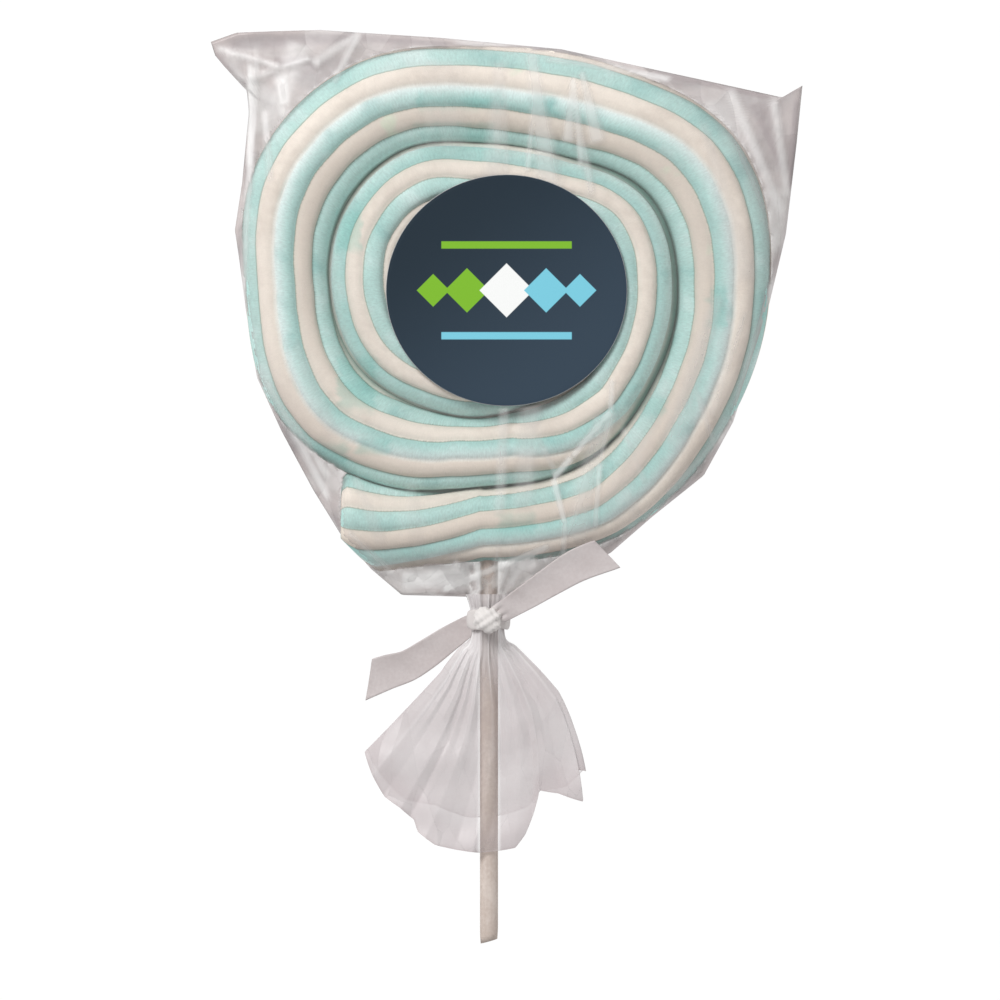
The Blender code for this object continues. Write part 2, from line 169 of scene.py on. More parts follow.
class Board:
    # Nodes are added to a material or group one call at a time, and inputs are joined or set.
    def __init__(self, tree):
        self.tree = tree

    def fill(self, node, ins):
        for key, value in ins.items():
            if isinstance(value, bpy.types.NodeSocket):
                self.tree.links.new(value, node.inputs[key])
            else:
                node.inputs[key].default_value = value
        return node

    def add(self, kind, ins=None, **settings):
        node = self.tree.nodes.new(kind)
        for key, value in settings.items():
            setattr(node, key, value)
        return self.fill(node, ins or {})

    def useGroup(self, group, ins):
        return self.add("ShaderNodeGroup", ins, node_tree=group).outputs

    def shade(self, name, value):
        self.tree.links.new(value, self.shader.inputs[name])

    def objectPlace(self):
        return self.add("ShaderNodeTexCoord").outputs["Object"]

    def chart(self):
        return self.add("ShaderNodeUVMap", uv_map="lay").outputs["UV"]

    def attribute(self, name):
        return self.add("ShaderNodeAttribute", attribute_name=name).outputs["Fac"]

    def math(self, operation, a, b=0.0, c=0.0):
        return self.add("ShaderNodeMath", {0: a, 1: b, 2: c}, operation=operation).outputs[0]

    def times(self, a, b):
        return self.math("MULTIPLY", a, b)

    def timesPlus(self, a, b, c):
        return self.math("MULTIPLY_ADD", a, b, c)

    def blend(self, factor, a, b, mode="MIX"):
        return self.add("ShaderNodeMix", {0: factor, 6: a, 7: b}, data_type="RGBA",
                        blend_type=mode).outputs[2]

    def step(self, value, low, high, outLow=0.0, outHigh=1.0):
        return self.add("ShaderNodeMapRange", {0: value, 1: low, 2: high, 3: outLow, 4: outHigh},
                        interpolation_type="SMOOTHSTEP").outputs[0]

    def band(self, value, low, lowFull, highFull, high):
        # A mask that is full between its two middle values.
        return self.times(self.step(value, low, lowFull), self.step(value, high, highFull))

    def noise(self, vector, scale, detail=2.0, roughness=0.5):
        return self.add("ShaderNodeTexNoise", {"Vector": vector, "Scale": scale, "Detail": detail,
                                               "Roughness": roughness}).outputs["Fac"]

    def stretch(self, vector, scale, turn=0.0):
        ins = {"Vector": vector, "Rotation": (0, 0, turn), "Scale": scale}
        return self.add("ShaderNodeMapping", ins).outputs["Vector"]

    def bump(self, height, strength, distance):
        ins = {"Height": height, "Strength": strength, "Distance": distance}
        return self.add("ShaderNodeBump", ins).outputs["Normal"]


def colour(r, g, b):
    return (r, g, b, 1.0)


def newMaterial(name, roughness, specular):
    # A material with one Principled shader, its constant values and a board to add to.
    material = bpy.data.materials.new(name)
    material.use_nodes = True
    board = Board(material.node_tree)
    board.shader = material.node_tree.nodes["Principled BSDF"]
    board.shader.inputs["Roughness"].default_value = roughness
    board.shader.inputs["Specular IOR Level"].default_value = specular
    return material, board


def newGroup(name, numbers, results):
    # A node group with a vector input, number inputs with their first values, and its outputs.
    group = bpy.data.node_groups.new(name, "ShaderNodeTree")
    face = group.interface
    face.new_socket("Vector", in_out="INPUT", socket_type="NodeSocketVector")
    for key, start in numbers.items():
        face.new_socket(key, in_out="INPUT", socket_type="NodeSocketFloat").default_value = start
    for key in results:
        face.new_socket(key, in_out="OUTPUT", socket_type="NodeSocketFloat")
    board = Board(group)
    return group, board, board.add("NodeGroupInput").outputs


def makeFleckGroup():
    # Fine unevenness that several finishes share: broad clouds and small flecks of a surface.
    numbers = {"Cloud Scale": 60.0, "Fleck Scale": 900.0, "Cloud Share": 0.6}
    group, board, start = newGroup("flecks", numbers, ["Value"])
    clouds = board.noise(start["Vector"], start["Cloud Scale"], 3.0)
    fine = board.noise(start["Vector"], start["Fleck Scale"], 2.0)
    spread = board.math("SUBTRACT", clouds, fine)
    board.add("NodeGroupOutput", {"Value": board.timesPlus(spread, start["Cloud Share"], fine)})
    return group


def makeCrushGroup():
    # Crushed film: flat facets with sharp creases between them, each tilted its own way.
    group, board, start = newGroup("crush", {"Scale": 130.0}, ["Height", "Shade"])
    cell = board.add("ShaderNodeTexVoronoi", {key: start[key] for key in ("Vector", "Scale")}).outputs

    def vectorMath(operation, a, b):
        return board.add("ShaderNodeVectorMath", {0: a, 1: b}, operation=operation).outputs

    offset = vectorMath("SUBTRACT", start["Vector"], cell["Position"])[0]
    tilt = vectorMath("SUBTRACT", cell["Color"], (0.5, 0.5, 0.5))[0]
    slope = vectorMath("DOT_PRODUCT", offset, tilt)["Value"]
    shade = board.add("ShaderNodeSeparateColor", {0: cell["Color"]}).outputs[0]
    board.add("NodeGroupOutput", {"Height": slope, "Shade": shade})
    return group


fleckGroup = makeFleckGroup()
crushGroup = makeCrushGroup()


def flecks(board, vector, clouds, fine, share):
    ins = {"Vector": vector, "Cloud Scale": clouds, "Fleck Scale": fine, "Cloud Share": share}
    return board.useGroup(fleckGroup, ins)["Value"]


def crushed(board, vector, scale):
    outs = board.useGroup(crushGroup, {"Vector": vector, "Scale": scale})
    return outs["Height"], outs["Shade"]


# Marshmallow: one rope of alternating aqua and cream strands, coiled flat

rope = {
    "centre": (-4.8, 39.9),
    "edgeStart": -90,           # the rope's edge line, by its distance from the centre at
    "edgeStep": 30,             # every twelfth of a turn; a turn later it is the inner edge
    "edgeRadii": [55.8, 57.9, 57.8, 59.7, 62.2, 54.9, 51.8, 55.2, 54.9, 49.9, 50.1, 45.9,
                  40.6, 41.1, 39.8, 40.3, 40.0, 33.0, 31.3, 34.2, 34.0, 32.0, 30.2, 27.1, 25.9,
                  24.7, 23.2, 22.6],
    "turnPitch": 17.6,
    "turnGap": -0.45,           # the turns press into each other
    "freeGap": 0.25,            # the first turn's outer side stays clear of the film's edge
    "endAngle": 882,
    "pivotStart": 765,
    "pivotDirection": 240,
    "pivotRadius": 0.6,
    "pivotTravel": 7.0,
    "tailCutX": -34.2,
    "tailBottomAtCut": -18.2,
    "tailGap": -0.4,
    "nipTop": -11.0,            # the tail's lower corner is pressed back below this height,
    "nipSlope": 0.95,           # less and less from the cut up to this x
    "nipEndX": -12.0,
    "halfHeight": 8.05,
    "power": 2.15,              # of the section's squarish oval
    "spread": [(0, 0), (0.5, 0.17), (1.5, 0.50), (2.5, 0.89), (3.5, 1)],   # borders in a quarter
    "strands": 14,
    "pointsPerStrand": 10,
    "stations": 560,
    "capRings": 8,
    "capSize": 0.82,            # the cut face's share of the rope's section
    "capDome": 0.5,
    "endRound": 2.2,
    "endSize": 0.84,
    "grooveDepth": 0.85,
    "groovePower": 2.4,
    "grooveFade": (0.12, 0.45),     # no grooves below, full ones above, by the half height
    # the strands' roll round the rope, by turns
    "roll": [(-0.4, -7.7), (-0.29, -4.2), (-0.25, -2.5), (-0.2, -2.2), (-0.17, -2.6),
             (-0.11, -1.4), (0, 0.1), (0.11, 0.6), (0.2, 1.4), (0.3, 0.5), (0.4, -0.3),
             (0.5, -0.1), (0.61, -1.4), (0.72, 1.0), (0.78, 0.45), (0.83, -2.3),
             (0.89, -5.3), (1.0, -6.2), (1.25, -6.6), (1.5, -7.3)],
    "freeUntil": (0.75, 0.65),  # turns at which the free gap has gone, and is still whole
    "gapShadeFrom": 0.7,         # turns after which the rope's outer side has a neighbour too
    "gapShadeBeyond": 0.92,      # share of the half width where the painted shade of the gap starts
    "outerGapShade": 0.97,         # how much of that painted shade the outer side gets
    "newGapShade": 0.08,           # more of it where its neighbour is new
    "newUntil": (1.22, 1.08),   # turns at which that has gone, and is still whole
    "wobble": 0.035,            # how far a border strays, in strands
    "wobbleWaves": (61, 23, 9.5),
    "lumps": 0.06,
    "lumpWaves": (31, 13, 5.3),
}


def polar(radius, angle):
    turn = np.radians(angle)
    x, y = rope["centre"]
    return np.stack([x + radius * np.cos(turn), y + radius * np.sin(turn)], -1)


def edgeRadius(angle):
    lastAngle = rope["edgeStart"] + rope["edgeStep"] * (len(rope["edgeRadii"]) - 1)
    turnsPast = np.maximum(0, np.ceil((angle - lastAngle) / 360))
    place = (angle - 360 * turnsPast - rope["edgeStart"]) / rope["edgeStep"]
    return smoothThrough(rope["edgeRadii"], place) - rope["turnPitch"] * turnsPast


def ropeLine():
    # Outer and inner edge points and the turns made, at even steps along the rope.
    first = np.array(float(rope["edgeStart"]))
    startX = rope["centre"][0]
    startY = polar(edgeRadius(first), first)[1]
    x = np.linspace(rope["tailCutX"], startX, 300, endpoint=False)
    share = (startX - x) / (startX - rope["tailCutX"])
    underAngle = np.linspace(200, 270, 400)
    under = polar(edgeRadius(underAngle), underAngle)
    low = np.stack([x, startY + share * (rope["tailBottomAtCut"] - startY)], -1)
    high = np.stack([x, np.interp(x, under[:, 0], under[:, 1]) - rope["tailGap"]], -1)
    tailTurns = first / 360 + share * (rope["roll"][0][0] - first / 360)
    angle = np.linspace(rope["edgeStart"], rope["endAngle"], 4000)
    outer = polar(edgeRadius(angle), angle)
    inner = polar(np.maximum(edgeRadius(angle + 360), rope["pivotRadius"]), angle)
    slide = np.clip((angle - rope["pivotStart"]) / (rope["endAngle"] - rope["pivotStart"]), 0, 1)
    pivot = polar(rope["pivotRadius"] + slide * rope["pivotTravel"], rope["pivotDirection"])
    inner = np.where((angle >= rope["pivotStart"])[:, None], pivot, inner)
    outer = np.concatenate([low, outer])
    inner = np.concatenate([high, inner])
    turns = np.concatenate([tailTurns, angle / 360])
    line = (outer + inner) / 2
    run = np.concatenate([[0], np.cumsum(np.hypot(*np.diff(line, axis=0).T))])
    even = np.linspace(0, run[-1], rope["stations"])
    edges = [np.stack([np.interp(even, run, values) for values in edge.T], -1)
             for edge in (outer, inner)]
    return *edges, np.interp(even, run, turns), even


def roundedEnd(gap):
    # Size of the rope at a distance from its end.
    near = 1 - np.clip(gap / rope["endRound"], 0, 1)
    return rope["endSize"] + (1 - rope["endSize"]) * np.sqrt(np.clip(1 - near ** 2, 0, 1))


def ropeRings():
    # Station by station: edges, turns, distance along, and how each ring is shrunk and
    # moved along the rope. Both ends close with rings that dome and meet in a point.
    outer, inner, turns, run = ropeLine()
    caps = rope["capRings"]
    shrink = roundedEnd(run) * roundedEnd(run[-1] - run)
    fillIn = rope["capSize"] * np.linspace(0, 1, caps, endpoint=False)
    dome = rope["capDome"] * (1 - fillIn ** 2)
    order = np.concatenate([np.zeros(caps, int), np.arange(len(run)), np.full(caps, len(run) - 1)])
    shrinks = np.concatenate([fillIn, shrink, fillIn[::-1]])
    shifts = np.concatenate([-dome, np.zeros(len(run)), dome[::-1]])
    return outer[order], inner[order], turns[order], run[order], shrinks, shifts


def spreadOut(place):
    # Share of the way round the section at a place counted in strands from the front.
    quarter = rope["strands"] / 4
    lap = place % rope["strands"]
    whole = np.floor(lap / quarter)
    part = lap - whole * quarter
    backward = whole % 2 == 1
    share = along(rope["spread"], np.where(backward, quarter - part, part))
    return (whole + np.where(backward, 1 - share, share)) / 4


def strandWaves(run, size, waves, seed):
    # A random curve along the rope for each strand, and the first one again.
    curves = [size * wander(run, waves, seed + k) for k in range(rope["strands"])]
    return np.stack(curves + curves[:1], -1)


def ropeShape(u, v):
    strands = rope["strands"]
    count = strands * rope["pointsPerStrand"]
    outer, inner, turns, run, shrinks, shifts = ropeRings()
    rings = len(run)
    width = np.hypot(*(inner - outer).T)
    across = (inner - outer) / width[:, None]
    centre = (inner + outer) / 2
    turn = np.linspace(0, 2 * np.pi, 361)
    power = 2 / rope["power"]
    side = np.sign(np.sin(turn)) * np.abs(np.sin(turn)) ** power
    height = np.sign(np.cos(turn)) * np.abs(np.cos(turn)) ** power * rope["halfHeight"]
    place = np.arange(count + 1) / rope["pointsPerStrand"]
    low = np.floor(place % strands).astype(int)
    part = place % strands - low
    roll = along(rope["roll"], turns)
    borders = strandWaves(run, rope["wobble"], rope["wobbleWaves"], 40)
    lumps = strandWaves(run, rope["lumps"], rope["lumpWaves"], 70)
    points = np.empty((rings, count + 1, 3))
    gapShade = np.empty((rings, count + 1))
    for k in range(rings):
        freeGap = (rope["freeGap"] - rope["turnGap"]) * ease(*rope["freeUntil"], turns[k])
        outerGap = rope["turnGap"] + freeGap
        sides = side * (width[k] - np.where(side < 0, outerGap, rope["turnGap"])) / 2
        lengths = np.concatenate([[0], np.cumsum(np.hypot(np.diff(sides), np.diff(height)))])
        stray = borders[k][low] * (1 - part) + borders[k][low + 1] * part
        pitch = lengths[-1] / strands
        at = spreadOut(place - 0.5 + stray + roll[k] / pitch) * lengths[-1]
        s = np.interp(at, lengths, sides)       # across the section, and h up it
        h = np.interp(at, lengths, height)
        grooved = ease(*rope["grooveFade"], np.abs(h) / rope["halfHeight"])
        dent = rope["grooveDepth"] * np.abs(2 * part - 1) ** rope["groovePower"] * grooved
        rise = lumps[k][low] * np.sin(np.pi * part) * grooved
        share = (1 - (dent - rise) / np.hypot(s, h)) * shrinks[k]
        ahead = np.array([across[k][1], -across[k][0]]) * shifts[k]
        for axis in (0, 1):
            points[k, :, axis] = centre[k][axis] + across[k][axis] * s * share + ahead[axis]
        points[k, :, 2] = middle + h * share
        x, y = points[k, :, 0], points[k, :, 1]
        nearCut = np.clip((rope["nipEndX"] - x) / (rope["nipEndX"] - rope["tailCutX"]), 0, 1)
        nip = rope["nipSlope"] * np.maximum(rope["nipTop"] - y, 0) * nearCut
        points[k, :, 0] += nip * (turns[k] < rope["edgeStart"] / 360)
        # Painted shade in the gap between turns: along the inner side, and along the outer side once
        # it has a neighbour, more where that neighbour is new.
        outward = rope["outerGapShade"] + rope["newGapShade"] * ease(*rope["newUntil"], turns[k])
        outward = outward * (turns[k] > rope["gapShadeFrom"])
        beside = np.where(s > 0, s, -s * outward) / sides.max()
        gapShade[k] = ease(rope["gapShadeBeyond"], 1.0, beside)
    row = np.rint(v * (rings - 1)).astype(int)
    column = np.rint(u * count).astype(int)
    return points[row, column], {"gapShade": gapShade[row, column]}


def ropeChart(u, v):
    # Along the rope in centimetres, and round it in strands.
    run = ropeRings()[3]
    row = np.rint(v * (len(run) - 1)).astype(int)
    return run[row] / 10, u * rope["strands"]


sweet = {
    "aqua": colour(0.46, 0.69, 0.65),
    # aquaLight serves both random pale clouds and the painted highlight on the crown strand's outer
    # side; aquaDeep both random deep clouds and the painted shade on its inner side.
    "aquaLight": colour(0.78, 0.88, 0.87),
    "aquaDeep": colour(0.17, 0.44, 0.42),
    "cream": colour(0.84, 0.77, 0.685),
    # creamShade serves both random darker clouds and the painted shade on the low cream strands.
    "creamShade": colour(0.66, 0.585, 0.51),
    # gap is painted shade in the gaps where the turns meet.
    "gap": colour(0.11, 0.24, 0.20),
    "greenSpot": colour(0.62, 0.80, 0.60),
    # line is painted shade in the grooves between strands.
    "line": colour(0.17, 0.24, 0.17),
    "wet": colour(0.62, 0.86, 0.84),
    "crispBorder": 0.035,       # half width of a colour border, in strands
    "softBorder": 0.17,
    "strayFibres": 0.09,        # how far the fibres carry a colour over, in strands
    "paleClouds": 0.45,         # how strongly each of these shows
    "deepClouds": 0.6,
    # painted shade on the crown strand's inner side
    "crownInnerShade": 0.38,
    # painted shade on the low cream strands
    "lowStrandShade": 0.75,
    "spotShare": 0.5,
    # painted shade in the grooves between strands
    "grooveShadeShare": 0.62,
    "wetShare": 0.75,
    "roughness": 0.72,
    "specular": 0.25,
    "fibreDepth": 0.00022,      # in metres
}


def makeSweetMaterial():
    material, board = newMaterial("stripedMarshmallow", sweet["roughness"], sweet["specular"])
    chart = board.chart()
    place = board.objectPlace()
    length, strand, _ = board.add("ShaderNodeSeparateXYZ", {0: chart}).outputs
    halfLap = rope["strands"] / 2
    fuzz = board.noise(board.stretch(chart, (30.0, 4.5, 1.0)), 1.0, 3.0, 0.7)
    clouds = board.noise(board.stretch(chart, (1.1, 0.35, 1.0)), 1.0, 3.0)
    strays = board.timesPlus(board.math("SUBTRACT", fuzz, 0.5), sweet["strayFibres"], strand)
    lap = board.math("WRAP", strays, halfLap, -halfLap)
    # Even strands are aqua. The wave is 0 on borders, 1 in an aqua middle, -1 in a cream one.
    wave = board.math("PINGPONG", board.math("ADD", strays, 0.5), 1.0)
    edge = board.math("SUBTRACT", wave, 0.5)
    ridge = board.step(board.math("PINGPONG", strand, halfLap), 0.25, 0.6, 1.0, 0.0)
    softer = sweet["softBorder"] - sweet["crispBorder"]
    width = board.timesPlus(ridge, softer, sweet["crispBorder"])
    ratio = board.math("DIVIDE", edge, width)
    aquaShare = board.step(ratio, -1.0, 1.0)
    deep = board.step(clouds, 0.5, 0.78)
    light = board.step(clouds, 0.5, 0.26)
    # The strand along the crown gets a painted highlight on its outer side and painted shade on
    # its inner one, on top of random pale and deep clouds. lap counts strands from the crown.
    pale = board.band(lap, -1.0, -0.6, -0.1, 0.75)
    shadeAndDeepClouds = board.band(lap, 0.45, 1.0, 1.0, 1.1)
    pale = board.math("MAXIMUM", pale, board.times(light, sweet["paleClouds"]))
    shadeAndDeepClouds = board.math("MAXIMUM", board.times(shadeAndDeepClouds, sweet["crownInnerShade"]),
                      board.times(deep, sweet["deepClouds"]))
    aqua = board.blend(pale, sweet["aqua"], sweet["aquaLight"])
    aqua = board.blend(shadeAndDeepClouds, aqua, sweet["aquaDeep"])
    creamClouds = flecks(board, place, 45.0, 500.0, 0.7)
    cream = board.blend(board.step(creamClouds, 0.42, 0.68, 0.0, 0.6), sweet["cream"],
                        sweet["creamShade"])
    # Painted shade on the first turn's inner cream strand, which lies lower and takes less light,
    # and on the outer one at the bottom, above the tail.
    inside = board.times(board.band(lap, 0.9, 1.05, 1.95, 2.1), board.step(length, 29.0, 25.0))
    outside = board.times(board.band(lap, -1.1, -0.95, -0.05, 0.1),
                          board.band(length, 25.0, 29.0, 33.0, 36.0))
    lower = board.math("MAXIMUM", inside, outside)
    cream = board.blend(board.times(lower, sweet["lowStrandShade"]), cream, sweet["creamShade"])
    spots = board.step(board.noise(place, 75.0, 3.0), 0.66, 0.74)
    cream = board.blend(board.times(spots, sweet["spotShare"]), cream, sweet["greenSpot"])
    mixed = board.blend(aquaShare, cream, aqua)
    # Painted shade: a thin dark line in the grooves between strands, away from the crown.
    lineAt = board.step(board.math("ABSOLUTE", edge), 0.0, 0.05, 1.0, 0.0)
    lineAt = board.times(lineAt, board.math("SUBTRACT", 1.0, ridge))
    mixed = board.blend(board.times(lineAt, sweet["grooveShadeShare"]), mixed, sweet["line"])
    contact = board.attribute("contact")
    wet = board.blend(1.0, mixed, sweet["wet"], "MULTIPLY")
    mixed = board.blend(board.times(contact, sweet["wetShare"]), mixed, wet)
    # Painted shade in the gaps where the turns meet.
    gapShade = board.attribute("gapShade")
    mixed = board.blend(gapShade, mixed, sweet["gap"])
    low = board.timesPlus(aquaShare, -0.09, 0.96)
    high = board.timesPlus(aquaShare, 0.08, 1.02)
    grain = board.step(fuzz, 0.25, 0.75, low, high)
    tone = board.add("ShaderNodeCombineXYZ", {0: grain, 1: grain, 2: grain}).outputs[0]
    mixed = board.blend(1.0, mixed, tone, "MULTIPLY")
    board.shade("Base Color", mixed)
    pores = flecks(board, place, 900.0, 3200.0, 0.5)
    relief = board.timesPlus(fuzz, 0.6, board.times(pores, 0.6))
    board.shade("Normal", board.bump(relief, 0.5, sweet["fibreDepth"]))
    return material


# Patches where the film touches the marshmallow and the colours show deeper,
# each by its middle x and y and half its width and height

contacts = [(-9.8, 79.6, 9.0, 1.5), (-10.5, 71.8, 8.0, 2.6), (8.6, 78.5, 1.9, 1.4),
            (-33.0, 53.0, 2.5, 4.0), (-27.5, 8.3, 3.4, 1.4), (-31.0, 21.0, 4.0, 5.0),
            (-38.0, 6.0, 5.0, 2.5), (30.0, 16.5, 3.0, 2.0), (43.5, 37.0, 1.6, 4.0),
            (2.0, -7.8, 4.0, 1.4)]


def markContacts(mesh):
    x, y, z = meshPoints(mesh) / mm
    mask = np.zeros_like(x)
    for cx, cy, halfX, halfY in contacts:
        ragged = 0.6 * wander(y * 1.3 + cx, (7, 3.1), 90) + 0.4 * wander(x + cy, (5, 2.3), 91)
        inX = ease(halfX + 0.4, halfX - 0.5, np.abs(x - cx) + ragged)
        inY = ease(halfY + 1.5, halfY - 1.5, np.abs(y - cy) + ragged)
        mask = np.maximum(mask, inX * inY)
    mask *= ease(9.0, 13.0, z)
    addMask(mesh, "contact", mask)


def makeMarshmallow():
    columns = rope["strands"] * rope["pointsPerStrand"]
    rows = rope["stations"] + 2 * rope["capRings"] - 1
    mesh = gridMesh(columns, rows, ropeShape, "marshmallow", ropeChart)
    markContacts(mesh)
    addPiece(mesh, makeSweetMaterial(), "marshmallow", "filled_bag")
    return mesh


# Stick: rolled paper, pushed up into the coil

stick = {
    "x": -3.75,
    "radius": 1.88,
    "bottom": -94.9,
    "top": 36.0,
    "sides": 48,
    "rings": 90,
    "slant": 0.28,              # of its cut lower end
    "rim": 0.3,
    "endRings": 3,              # over which an end is rounded
    "seamDepth": 0.05,
    "paper": colour(0.54, 0.455, 0.405),
    "paperLight": colour(0.65, 0.57, 0.52),
    "fibre": colour(0.47, 0.39, 0.34),
}


def stickShape(u, v):
    turn = 2 * np.pi * u
    ring = v * stick["rings"]
    end = np.clip(1 - ring / stick["endRings"], 0, 1)
    top = np.clip((v - 1) * stick["rings"] / stick["endRings"] + 1, 0, 1)
    radius = stick["radius"] - stick["rim"] * end ** 2
    radius = np.where((v == 0) | (v == 1), 0, radius)
    share = np.clip((ring - 1) / (stick["rings"] - 2), 0, 1)
    run = stick["bottom"] + (stick["top"] - stick["bottom"]) * share
    lean = stick["slant"] * np.cos(turn) * (ring < stick["endRings"] + 1) * radius
    seam = stick["seamDepth"] * ease(0.03, 0.0, np.abs((u + v * 3) % 1 - 0.5))
    x = stick["x"] + (radius - seam) * np.cos(turn)
    z = middle + (radius - seam) * np.sin(turn)
    return np.stack([x, run + lean * (1 - top), z], -1), {}


def stickChart(u, v):
    # Round it and along it, in centimetres.
    return u * 1.18, v * 13.1


def makePaperMaterial():
    material, board = newMaterial("rolledPaper", 0.82, 0.2)
    chart = board.chart()
    place = board.objectPlace()
    fibres = board.noise(board.stretch(chart, (14.0, 2.2, 1.0)), 1.0, 4.0, 0.6)
    clouds = flecks(board, place, 120.0, 1400.0, 0.6)
    tone = board.blend(board.step(clouds, 0.38, 0.68), stick["paper"], stick["paperLight"])
    tone = board.blend(board.step(fibres, 0.35, 0.7, 0.0, 0.25), tone, stick["fibre"])
    board.shade("Base Color", tone)
    board.shade("Normal", board.bump(fibres, 0.5, 0.00012))
    return material


def makeStick():
    mesh = gridMesh(stick["sides"], stick["rings"], stickShape, "stickPaper", stickChart)
    return addPiece(mesh, makePaperMaterial(), "stick", "stick")


# Bag: one clear film, its front and back meeting at the outline, drawn over the coil

bag = {
    "outline": [(-61.7, 92.4), (-56.3, 94.3), (-39.0, 94.9), (-14.2, 93.3), (11.3, 90.9),
                (30.0, 86.8), (57.3, 80.9), (61.6, 83.4), (60.4, 71.6), (58.1, 52.4),
                (53.3, 32.2), (47.1, 13.2), (41.0, 2.1), (30.4, -6.4), (21.5, -14.1),
                (11.0, -18.6), (0.2, -23.0), (-0.8, -25.5), (-7.5, -25.5), (-7.9, -23.2),
                (-21.9, -22.8), (-28.3, -17.4), (-34.6, -10.3), (-40.4, -0.9),
                (-47.0, 11.4), (-52.1, 22.5), (-54.4, 36.6), (-55.8, 47.2), (-56.7, 53.2),
                (-55.2, 63.0), (-53.8, 77.8), (-54.2, 82.2), (-58.8, 87.2), (-60.8, 89.6)],
    "around": 680,
    "frontRings": 100,
    "backRings": 42,
    "clearance": 0.16,          # between the film and what it lies on
    "cell": 0.6,                # of the height map that the film is stretched on
    "sweeps": 260,
    "overshoot": 1.75,          # of each step of the relaxing
    "rayStart": 50.0,           # height from which rays look for what lies under the film
    "edgeWave": 0.9,
    "edgeWaves": 9,
    "edgeWaveReach": 15.0,
    "neckX": -3.95,
    "neckY": -27.9,
    "neckTop": -23.4,
    "neckHalf": (4.0, 3.1),
    "neckSpread": 0.55,         # how fast the gathered film widens above the tie
    "gathers": 17,
    "gatherDepth": 0.55,
    "thinnest": 0.75,           # half width of a crease
    "backShift": 1.5,           # of the back's creases to the side
    "crumpleDepth": 0.9,
    "crumpleLength": 17.0,
    "fineCrumple": 0.35,        # of the fine crumples' size and depth against the broad ones
    "overShare": 0.12,          # of the creases' rise, where the film lies on the coil
    "overGather": 0.35,
    "highest": 17.1,
    "lowest": 0.05,
}
